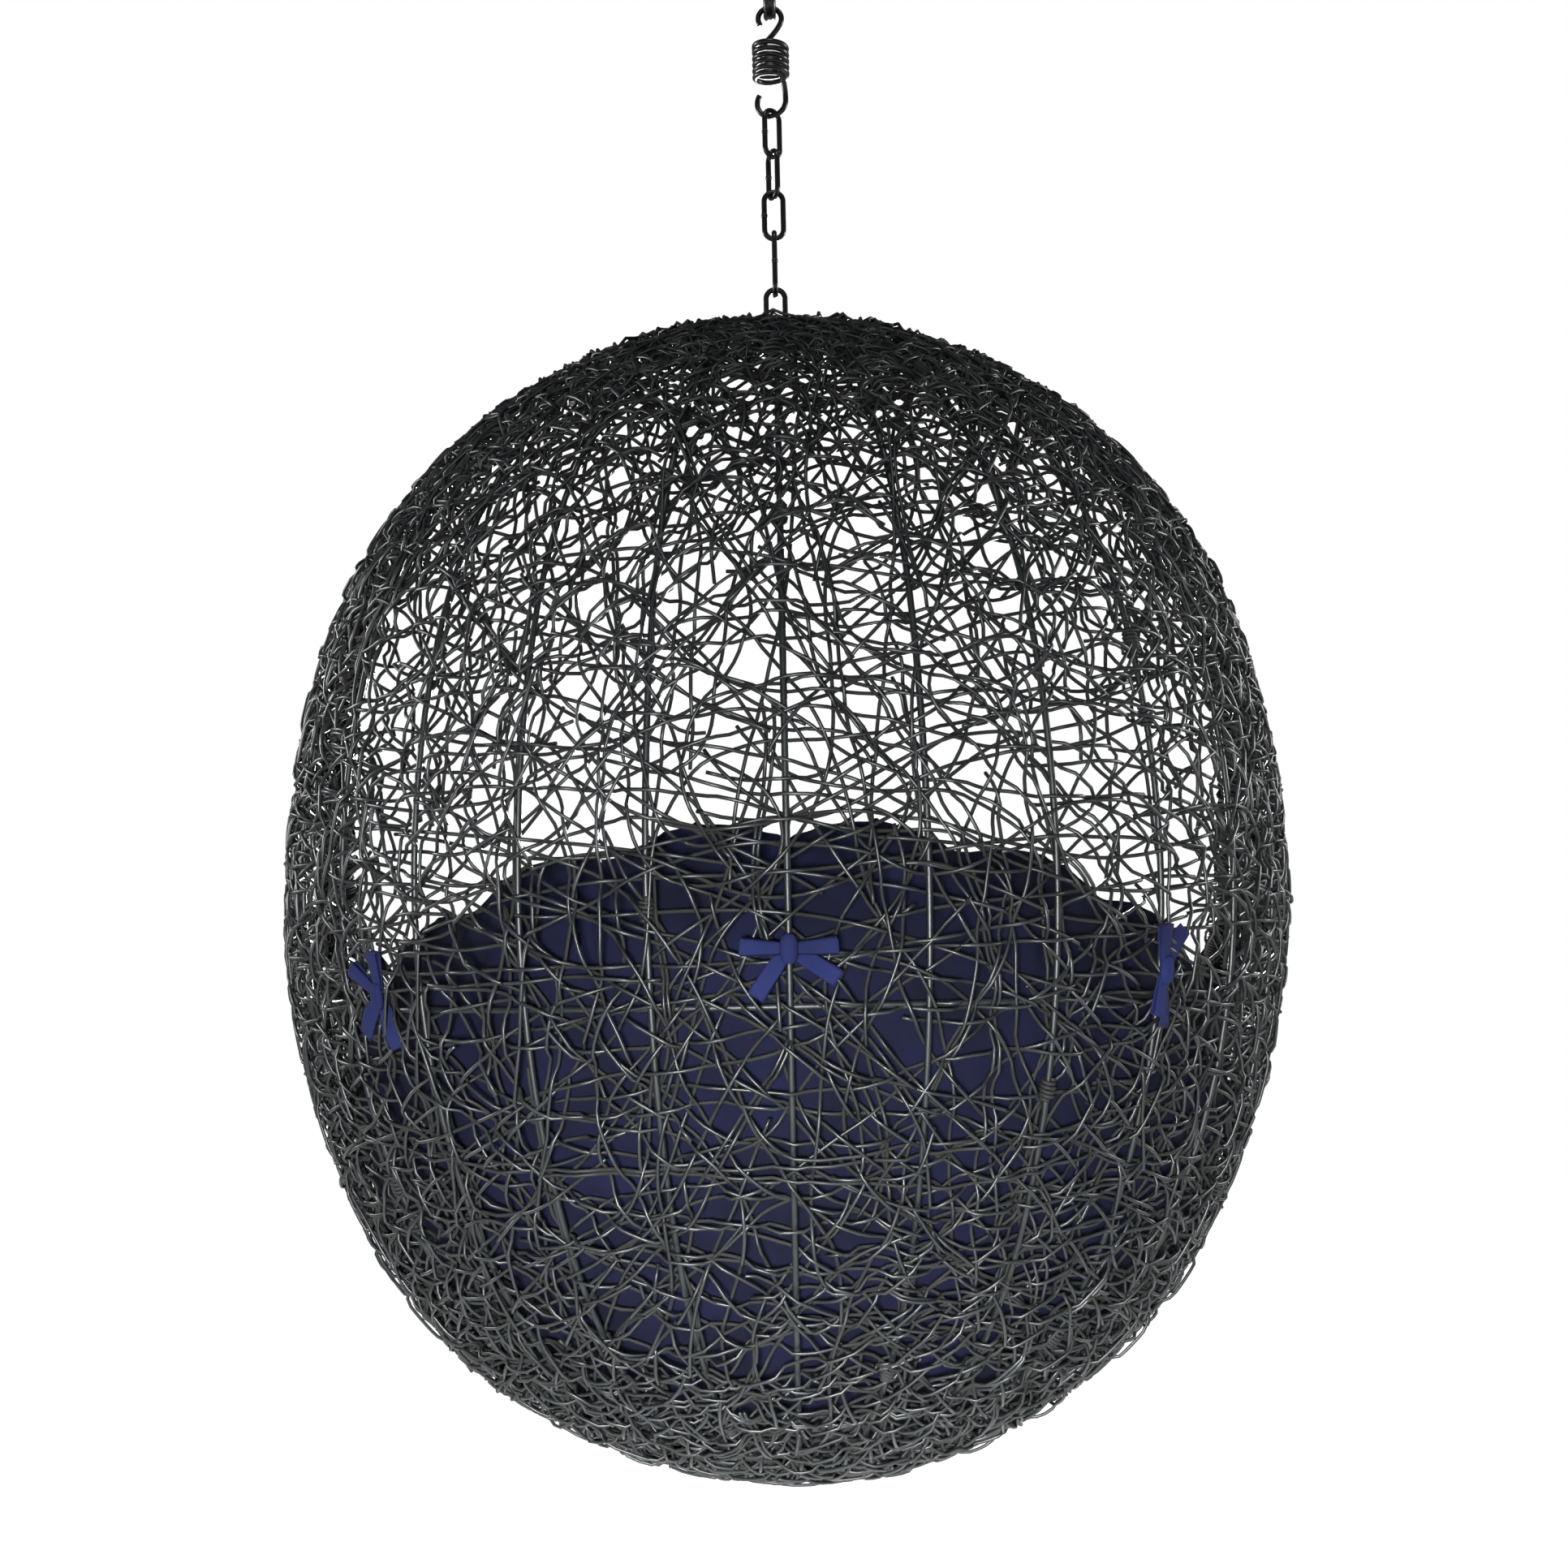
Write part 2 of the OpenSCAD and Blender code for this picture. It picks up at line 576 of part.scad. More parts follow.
module cushion() {
    n = cushion_meridians;
    m = cushion_steps;
    function face_points(thick) =
        [for (j = [1:m - 1], i = [0:n - 1]) cushion_point(j / m, 360 * i / n, thick)];
    back_pole = cushion_point(0, 0, 0);
    front_pole = cushion_point(0, 0, 1);
    edge = [for (i = [0:n - 1]) cushion_point(1, 360 * i / n, 0)];
    points = concat([back_pole, front_pole], face_points(0), edge, face_points(1));
    // Rows of points: 1 to m - 1 on the back, the edge, and m - 1 to 1 on the front
    function row(j, i) = 2 + (j - 1) * n + i % n;
    edge_row = m;
    function face_row(j, i) = 2 + (m + j - 1) * n + i % n;
    back = [for (j = [1:m - 1], i = [0:n - 1])
        each [[row(j, i), row(j + 1, i), row(j + 1, i + 1)], [row(j, i), row(j + 1, i + 1), row(j, i + 1)]]];
    front = [for (j = [1:m - 2], i = [0:n - 1])
        each [[face_row(j, i), face_row(j + 1, i + 1), face_row(j + 1, i)],
              [face_row(j, i), face_row(j, i + 1), face_row(j + 1, i + 1)]]];
    brim = [for (i = [0:n - 1])
        each [[face_row(m - 1, i), row(edge_row, i + 1), row(edge_row, i)],
              [face_row(m - 1, i), face_row(m - 1, i + 1), row(edge_row, i + 1)]]];
    poles = [for (i = [0:n - 1])
        each [[0, row(1, i), row(1, i + 1)], [1, face_row(1, i + 1), face_row(1, i)]]];
    color(navy) in_basket() polyhedron(points, concat(back, front, brim, poles), convexity = 10);
}

// ---- Ties ----
// A bow of flat ribbon, lying on the outside of the wicker. It is drawn with X across, Y outwards and
// Z up, with its knot at the origin. The tails lie under the loops, and the knot holds them all.
knot_w = 16;
knot_h = 26;
knot_t = 9;
knot_corner = 3;
bow_loop_h = 12;
loop_lift = 1.4;
tail_l = 46;
tail_lift = 0.5;
// The tails' angles below level are given for the sitter's left and right.
module bow(tail_left, tail_right) {
    // Seen from above, a loop is a long drop
    module loop_outline(inset)
        hull() {
            translate([knot_w / 4, loop_lift + 2 * ribbon_t]) circle(r = 2 * ribbon_t - inset, $fn = wire_fn);
            translate([knot_w / 2 + bow_loop_l - bow_loop_h / 2, loop_lift + bow_loop_h / 2])
                circle(r = bow_loop_h / 2 - inset, $fn = wire_fn);
        }
    module loop()
        translate([0, 0, -ribbon_w / 2]) linear_extrude(ribbon_w) difference() {
            loop_outline(0);
            loop_outline(ribbon_t);
        }
    module tail(a)
        rotate([0, a, 0]) translate([knot_w / 4, tail_lift, -ribbon_w / 2 + 1])
            cube([tail_l, ribbon_t, ribbon_w - 2]);
    rotate([90, 0, 0]) translate([0, 0, -knot_t]) linear_extrude(knot_t) hull()
        for (x = [-1, 1], z = [-1, 1])
            translate([x * (knot_w / 2 - knot_corner), z * (knot_h / 2 - knot_corner)])
                circle(r = knot_corner, $fn = wire_fn);
    loop();
    mirror([1, 0, 0]) loop();
    tail(tail_left);
    mirror([1, 0, 0]) tail(tail_right);
}

// A bow at the angle `a` round from the back to the sitter's left, and the drop below the widest level
module bow_at(a, drop, turn, tail_left, tail_right) {
    p = meridian(wall_length(drop), wicker_out + seat_gap);
    lean = 90 - slope_at(wall_length(drop));
    color(navy) in_basket() rotate([0, 0, -a]) translate([0, p[0], p[1]])
        rotate([-lean, 0, 0]) rotate([0, turn, 0]) bow(tail_left, tail_right);
}

module tie_back() bow_at(0, 57, 0, 28, 52);
module tie_left() bow_at(47, 92, 70, 30, 62);
module tie_right() bow_at(-41, 82, -75, 30, 60);
module tie_side_right() bow_at(-100, 235, -10, 60, 40);
module tie_side_left() bow_at(100, 235, 10, 40, 60);

hanger_link();
spring_top_hook();
spring_coil();
spring_bottom_hook();
for (n = [1:4])
    chain_link(n - 1, n == 4 ? long_link_l : link_l);
hanging_eye();
crown_plate();
rim_tube();
rim_wrap();
seat_hoop();
base_ring();
rib(0);  // rib_back
rib(rib_pairs + 1);  // rib_front
for (k = [1:rib_pairs]) {
    rib(k);
    rib(-k);
}
wicker_shell();
cushion();
tie_back();
tie_left();
tie_right();
tie_side_right();
tie_side_left();
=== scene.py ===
"""Looks of the hanging egg chair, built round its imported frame.

All sizes are in metres. The open front faces -Y and +Z is up. The basket is worked out about its own
middle and then leaned and hung on its eye, as the frame is.
"""

import logging
import math
from collections.abc import Callable
from dataclasses import dataclass, field
from enum import Enum

import bpy
import numpy as np
from mathutils import Matrix, Vector


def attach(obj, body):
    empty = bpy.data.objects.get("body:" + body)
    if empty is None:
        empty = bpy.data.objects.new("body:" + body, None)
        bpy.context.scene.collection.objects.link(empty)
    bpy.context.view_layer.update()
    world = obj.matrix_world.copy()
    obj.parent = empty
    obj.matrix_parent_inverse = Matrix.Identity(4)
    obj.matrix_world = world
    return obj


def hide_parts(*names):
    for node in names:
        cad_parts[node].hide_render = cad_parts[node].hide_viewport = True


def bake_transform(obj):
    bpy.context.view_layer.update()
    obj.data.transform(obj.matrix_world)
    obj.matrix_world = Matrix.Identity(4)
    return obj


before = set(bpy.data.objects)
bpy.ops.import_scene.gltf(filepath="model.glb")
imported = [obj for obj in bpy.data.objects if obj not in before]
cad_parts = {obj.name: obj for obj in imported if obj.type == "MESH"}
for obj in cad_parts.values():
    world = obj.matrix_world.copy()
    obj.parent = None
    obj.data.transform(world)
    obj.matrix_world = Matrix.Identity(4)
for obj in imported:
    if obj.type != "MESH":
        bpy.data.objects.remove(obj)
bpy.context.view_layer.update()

log = logging.getLogger("egg_chair")
Array = np.ndarray
Socket = bpy.types.NodeSocket
Material = bpy.types.Material
MM = 0.001
UP = np.array([0, 0, 1.0])
OUT = np.array([0, 1.0, 0])


# ---------------------------------------------------------------- vectors and meshes


def unit(v: Array) -> Array:
    """Vectors scaled to length one along the last axis."""
    return v / np.maximum(np.linalg.norm(v, axis=-1, keepdims=True), 1e-12)


def dot(a: Array, b: Array) -> Array:
    """Dot products along the last axis, which is kept."""
    return np.sum(a * b, axis=-1, keepdims=True)


def smooth(x: Array, lo: float, hi: float) -> Array:
    """Rises from 0 at lo to 1 at hi as 3t squared minus 2t cubed."""
    t = np.clip((x - lo) / (hi - lo), 0, 1)
    return t * t * (3 - 2 * t)


def hump(x: Array, width: float) -> Array:
    """A rounded hump about zero: exp(-(x / width)^2)."""
    return np.exp(-(x / width) ** 2)


def run_along(points: Array) -> Array:
    """Length along a line from its first point to each of its points."""
    return np.concatenate([[0], np.cumsum(np.linalg.norm(np.diff(points, axis=0), axis=1))])


def turned(v: Array, angle: float, axis: int) -> Array:
    """Vectors turned in the plane of two neighbouring axes, of which the first is numbered."""
    c, s = math.cos(angle), math.sin(angle)
    a, b = v[..., axis], v[..., axis + 1]
    out = np.array(v, float)
    out[..., axis], out[..., axis + 1] = c * a - s * b, s * a + c * b
    return out


def level_and_steep(normal: Array) -> tuple[Array, Array]:
    """The level direction and the steepest one on a surface, from its normals."""
    level = unit(np.cross(UP, normal))
    return level, np.cross(normal, level)


def band(rows: Array, around: int, uv: Callable, flip: bool = False) -> tuple[Array, Array]:
    """Quads from rings of points to the rings that follow them.

    Args:
        rows: numbers of the rings that have one after them.
        around: points of a ring.
        uv: gives the UVs at numbers of rings and of points round them.
        flip: whether the faces look the other way.

    Returns:
        Four point numbers for each quad, and a UV for each of its corners.
    """
    i, j = np.meshgrid(rows, np.arange(around), indexing="ij")
    corners = ((0, 0), (1, 0), (1, 1), (0, 1)) if flip else ((0, 0), (0, 1), (1, 1), (1, 0))
    quads = np.stack([(i + a) * around + (j + b) % around for a, b in corners], -1)
    return quads.reshape(-1, 4), np.stack([uv(i + a, j + b) for a, b in corners], axis=2)


def fan(tips: Array, rings: Array, around: int, flip: bool) -> Array:
    """Triangles from each tip to its ring of points, all given by their numbers."""
    start, k = rings[:, None] * around, np.arange(around)
    ends = [start + k, start + (k + 1) % around]
    if flip:
        ends.reverse()
    return np.stack([np.broadcast_to(tips[:, None], ends[0].shape), *ends], -1).reshape(-1, 3)


@dataclass
class Shape:
    """Points and faces of a surface, before they go into a mesh.

    Args:
        points: one row for each point.
        quads: four point numbers a row.
        tris: three point numbers a row.
        quad_uv: a UV for each corner of each quad. Triangles close the ends and have none.
        tone: at each point from 0 to 1, a strand's own shade with painted shade where it lies under others.
    """

    points: Array
    quads: Array
    tris: Array = field(default_factory=lambda: np.zeros((0, 3), int))
    quad_uv: Array | None = None
    tone: Array | None = None

    @classmethod
    def tubes(cls, rings: Array, tips: Array, first: Array, last: Array, uv: Callable,
              flip: bool = False) -> "Shape":
        """Tubes through rings of points, closed by fans.

        Args:
            rings: of all tubes in turn.
            tips: a point for the start of each tube, and then one for the end of each.
            first: number of each tube's first ring.
            last: number of each tube's last ring.
            uv: gives the UVs at numbers of rings and of points round them.
            flip: whether the faces look the other way.

        Returns:
            The tubes, with the tips after the rings' points.
        """
        around = rings.shape[1]
        quads, quad_uv = band(np.setdiff1d(np.arange(len(rings)), last), around, uv, flip)
        start_tips = len(rings) * around + np.arange(len(first))
        tris = np.concatenate([fan(start_tips, first, around, not flip),
                               fan(start_tips + len(first), last, around, flip)])
        return cls(np.concatenate([rings.reshape(-1, 3), tips]), quads, tris, quad_uv)

    def to_object(self, name: str, material: Material) -> bpy.types.Object:
        """Puts the shape into a new mesh object.

        Args:
            name: the piece's name.
            material: what it is made of.

        Returns:
            The object, at the origin, linked to the scene.
        """
        mesh = bpy.data.meshes.new(name)
        mesh.vertices.add(len(self.points))
        mesh.vertices.foreach_set("co", self.points.astype(np.float32).ravel())
        loops = np.concatenate([self.quads.ravel(), self.tris.ravel()]).astype(np.int32)
        n_quads, n_tris = len(self.quads), len(self.tris)
        starts = np.concatenate([4 * np.arange(n_quads), 4 * n_quads + 3 * np.arange(n_tris)])
        mesh.loops.add(len(loops))
        mesh.loops.foreach_set("vertex_index", loops)
        mesh.polygons.add(n_quads + n_tris)
        mesh.polygons.foreach_set("loop_start", starts.astype(np.int32))
        mesh.polygons.foreach_set("use_smooth", np.ones(n_quads + n_tris, bool))
        if self.quad_uv is not None:
            uv = np.concatenate([self.quad_uv.reshape(-1, 2), np.zeros((3 * n_tris, 2))]).astype(np.float32)
            mesh.uv_layers.new(name="UVMap").data.foreach_set("uv", uv.ravel())
        if self.tone is not None:
            shades = mesh.attributes.new("tone", "FLOAT", "POINT")
            shades.data.foreach_set("value", self.tone.astype(np.float32))
        mesh.update(calc_edges=True)
        mesh.validate()
        mesh.materials.append(material)
        piece = bpy.data.objects.new(name, mesh)
        bpy.context.scene.collection.objects.link(piece)
        return piece


@dataclass
class Strands:
    """Many centre lines, one after another.

    Args:
        points: every centre line's points in turn.
        facing: at each point, a direction across the strand that its ring starts from.
        counts: how many points each centre line has.
        tone: at each point from 0 to 1, a strand's own shade with painted shade where it lies under others.
    """

    points: Array
    facing: Array
    counts: Array
    tone: Array

    @classmethod
    def alike(cls, path: Array, facing: Array, tone: Array | float) -> "Strands":
        """Strands with one number of points each, which have a row for each strand."""
        n, m, _ = path.shape
        tones = np.broadcast_to(tone, (n, m)).ravel()
        return cls(path.reshape(-1, 3), facing.reshape(-1, 3), np.full(n, m), tones)

    def take(self, chosen: Array) -> "Strands":
        """The strands whose numbers are chosen by a mask."""
        keep = np.repeat(chosen, self.counts)
        return Strands(self.points[keep], self.facing[keep], self.counts[chosen], self.tone[keep])

    def length(self) -> float:
        """The length of all strands together."""
        of = np.repeat(np.arange(len(self.counts)), self.counts)
        gaps = np.linalg.norm(np.diff(self.points, axis=0), axis=1)
        return float(gaps[np.diff(of) == 0].sum())

    def swept(self, radius: float, sides: int) -> Shape:
        """Round tubes along the centre lines, with closed ends.

        A ring's points stand at centre + radius (cos a * up + sin a * side), where side is the line's
        direction crossed with facing and up is side crossed with the direction.

        Args:
            radius: of the strand.
            sides: of each ring.

        Returns:
            The tubes, with UVs of once round and metres along, and each point's tone.
        """
        last = np.cumsum(self.counts) - 1
        first = last - self.counts + 1
        of = np.repeat(np.arange(len(self.counts)), self.counts)
        index = np.arange(len(self.points))
        ahead, behind = np.minimum(index + 1, last[of]), np.maximum(index - 1, first[of])
        along = unit(self.points[ahead] - self.points[behind])
        side = unit(np.cross(along, self.facing))
        up = np.cross(side, along)
        a = (2 * np.pi * np.arange(sides) / sides)[:, None]
        rings = self.points[:, None] + radius * (np.cos(a) * up[:, None] + np.sin(a) * side[:, None])
        run = run_along(self.points)
        run -= run[first][of]
        ends = np.concatenate([first, last])
        shape = Shape.tubes(rings, self.points[ends], first, last,
                            lambda i, j: np.stack([j / sides, run[i]], -1))
        shape.tone = np.concatenate([np.repeat(self.tone, sides), self.tone[ends]])
        return shape


def joined(parts: list[Strands]) -> Strands:
    """Several sets of strands as one."""
    return Strands(*[np.concatenate([getattr(part, name) for part in parts])
                     for name in ("points", "facing", "counts", "tone")])


# ---------------------------------------------------------------- finishes


def linear(hex_colour: str) -> tuple[float, float, float, float]:
    """An sRGB hex colour as linear red, green, blue and alpha."""
    c = [int(hex_colour[i:i + 2], 16) / 255 for i in (1, 3, 5)]
    return (*[x / 12.92 if x <= 0.04045 else ((x + 0.055) / 1.055) ** 2.4 for x in c], 1.0)


def add_node(tree: bpy.types.NodeTree, kind: str, sockets: dict | None = None, **settings) -> bpy.types.Node:
    """Adds a node with its settings and links.

    Args:
        tree: the node tree it goes into.
        kind: the node's type name.
        sockets: for each input, by name or number, a value or another node's output to link.
        settings: the node's own properties.

    Returns:
        The node.
    """
    node = tree.nodes.new(kind)
    for key, value in settings.items():
        setattr(node, key, value)
    for key, value in (sockets or {}).items():
        if isinstance(value, bpy.types.NodeSocket):
            tree.links.new(value, node.inputs[key])
        else:
            node.inputs[key].default_value = value
    return node


def fresh_tree(owner: Material | bpy.types.World) -> bpy.types.NodeTree:
    """The node tree of a material or a world, switched on and empty."""
    owner.use_nodes = True
    owner.node_tree.nodes.clear()
    return owner.node_tree


class Surface:
    """A new material with one shader, for a finish to work on.

    Args:
        name: the material's name.
        sockets: plain values for the shader's inputs, with _ for a space.
    """

    def __init__(self, name: str, **sockets) -> None:
        """Makes the material."""
        self.material = bpy.data.materials.new(name)
        self.tree = fresh_tree(self.material)
        values = {key.replace("_", " "): value for key, value in sockets.items()}
        self.shader = add_node(self.tree, "ShaderNodeBsdfPrincipled", values)
        add_node(self.tree, "ShaderNodeOutputMaterial", {0: self.shader.outputs[0]})

    def link(self, source: Socket, name: str) -> None:
        """Links a socket to one of the shader's inputs."""
        self.tree.links.new(source, self.shader.inputs[name])

    def place(self) -> Socket:
        """Places in the piece's own space, in metres."""
        return add_node(self.tree, "ShaderNodeTexCoord").outputs["Object"]

    def uv(self) -> Socket:
        """The piece's UVs."""
        return add_node(self.tree, "ShaderNodeUVMap", uv_map="UVMap").outputs[0]

    def noise(self, where: Socket, scale: float, detail: float) -> Socket:
        """Cloudy noise at a scale."""
        values = {"Vector": where, "Scale": scale, "Detail": detail}
        return add_node(self.tree, "ShaderNodeTexNoise", values).outputs[0]

    def calc(self, operation: str, a: Socket, b: Socket | float) -> Socket:
        """Two numbers, multiplied or compared."""
        return add_node(self.tree, "ShaderNodeMath", {0: a, 1: b}, operation=operation).outputs[0]

    def colour(self, source: Socket, *stops: tuple[float, str]) -> None:
        """Sets the colour by a ramp with two stops: their places from 0 to 1 and their hex colours."""
        node = add_node(self.tree, "ShaderNodeValToRGB", {0: source})
        for stop, (place, colour) in zip(node.color_ramp.elements, stops):
            stop.position, stop.color = place, linear(colour)
        self.link(node.outputs[0], "Base Color")

    def bump(self, height: Socket, strength: float, distance: float) -> None:
        """Shades the surface as if it were raised by a height times a distance."""
        values = {"Strength": strength, "Distance": distance, "Height": height}
        self.link(add_node(self.tree, "ShaderNodeBump", values).outputs[0], "Normal")


@dataclass(frozen=True)
class PaintedSteel:
    """Steel rod or wire under sprayed paint.

    The paint gives a satin gloss with a faint orange peel, thinner and paler where it has been rubbed.

    Args:
        name: the material's name.
        colour: of the paint.
        rubbed: of the paint where it is rubbed.
        gloss: roughness of the paint.
        peel: distance between the humps of the orange peel.
    """

    name: str
    colour: str
    rubbed: str
    gloss: float = 0.42
    peel: float = 1.2 * MM

    def material(self) -> Material:
        """The paint as a material."""
        paint = Surface(self.name, Roughness=self.gloss, Metallic=0.0, Specular_IOR_Level=0.5)
        where = paint.place()
        paint.colour(paint.noise(where, 60.0, 4.0), (0.35, self.colour), (0.72, self.rubbed))
        paint.bump(paint.noise(where, 1 / self.peel, 2.0), 0.25, 0.15 * MM)
        return paint.material


@dataclass(frozen=True)
class ResinStrand:
    """Round polyethylene strand, extruded and dyed through.

    The die leaves fine grooves along it, so it has a soft, broken highlight, and each strand differs
    a little in its own shade. It is duller where it lies under others, and darker there by painted
    shade, the shade that falls between the strands.

    Args:
        name: the material's name.
        dark: shade of the darkest strands.
        pale: shade of the palest strands.
        grooves: number of grooves round a strand.
    """

    name: str = "extruded_resin_wicker"
    dark: str = "#040505"
    pale: str = "#212527"
    grooves: float = 9.0

    def material(self) -> Material:
        """The strand as a material."""
        resin = Surface(self.name, Specular_IOR_Level=0.5)
        tone = add_node(resin.tree, "ShaderNodeAttribute", attribute_name="tone").outputs["Fac"]
        dull = add_node(resin.tree, "ShaderNodeMapRange", {0: tone, 1: 0.0, 2: 0.4, 3: 0.9, 4: 0.4})
        resin.link(dull.outputs[0], "Roughness")
        # The colour follows the tone, which carries painted shade where a strand lies under others.
        shade = resin.calc("MULTIPLY", tone, resin.noise(resin.place(), 45.0, 3.0))
        resin.colour(resin.calc("MULTIPLY", shade, 1.7), (0.0, self.dark), (1.0, self.pale))
        across = add_node(resin.tree, "ShaderNodeMapping",
                          {"Vector": resin.uv(), "Scale": (self.grooves, 12.0, 1.0)})
        resin.bump(resin.noise(across.outputs[0], 1.0, 2.0), 0.5, 0.12 * MM)
        return resin.material


@dataclass(frozen=True)
class WovenCloth:
    """Polyester cloth in plain weave.

    Its threads scatter light, so it is matt with a soft sheen where it turns away. The threads are
    drawn further apart than the real 0.5 mm, so that they show.

    Args:
        name: the material's name.
        colour: of the cloth.
        faded: of the cloth where it is paler.
        thread: distance between threads.
        sheen: how strong the sheen is.
        on_uv: whether the threads follow the piece's UVs, or else its own X and Z.
    """

    name: str
    colour: str
    faded: str
    thread: float = 1.6 * MM
    sheen: float = 0.35
    on_uv: bool = True

    def material(self) -> Material:
        """The cloth as a material."""
        cloth = Surface(self.name, Roughness=0.9, Specular_IOR_Level=0.12, Sheen_Weight=self.sheen,
                        Sheen_Roughness=0.45, Sheen_Tint=linear(self.faded))
        where = cloth.place()
        cloth.colour(cloth.noise(where, 14.0, 5.0), (0.35, self.colour), (0.75, self.faded))
        values = {"Vector": cloth.uv() if self.on_uv else where, "Scale": 0.31416 / self.thread,
                  "Distortion": 0.6, "Detail": 1.0}
        warp, weft = [add_node(cloth.tree, "ShaderNodeTexWave", values, wave_type="BANDS",
                               bands_direction=way).outputs[1] for way in ("X", "Y" if self.on_uv else "Z")]
        cloth.bump(cloth.calc("MAXIMUM", warp, weft), 0.35, 0.25 * MM)
        return cloth.material


# ---------------------------------------------------------------- basket geometry


@dataclass(frozen=True)
class HalfProfile:
    """One half of the basket's profile: an end arc centred on the axis and a side arc that meets it.

    Args:
        height: of this half.
        fullness: end radius as a multiple of an ellipse's.
        half_w: half of the basket's width.
    """

    height: float
    fullness: float
    half_w: float = 492 * MM

    @property
    def end_r(self) -> float:
        """Radius of the end arc."""
        return self.fullness * self.half_w ** 2 / self.height

    @property
    def side_r(self) -> float:
        """Radius of the side arc, from the two arcs sharing a tangent where they meet."""
        w, h, r = self.half_w, self.height, self.end_r
        return (w * w + h * h - 2 * h * r) / (2 * (w - r))

    @property
    def side_c(self) -> float:
        """Distance of the side arc's centre from the axis."""
        return self.half_w - self.side_r

    @property
    def end_c(self) -> float:
        """Distance of the end arc's centre from the widest level."""
        return self.height - self.end_r

    @property
    def meet(self) -> float:
        """Angle from the pole at which the arcs meet."""
        return math.atan2(self.side_r - self.half_w, self.end_c)


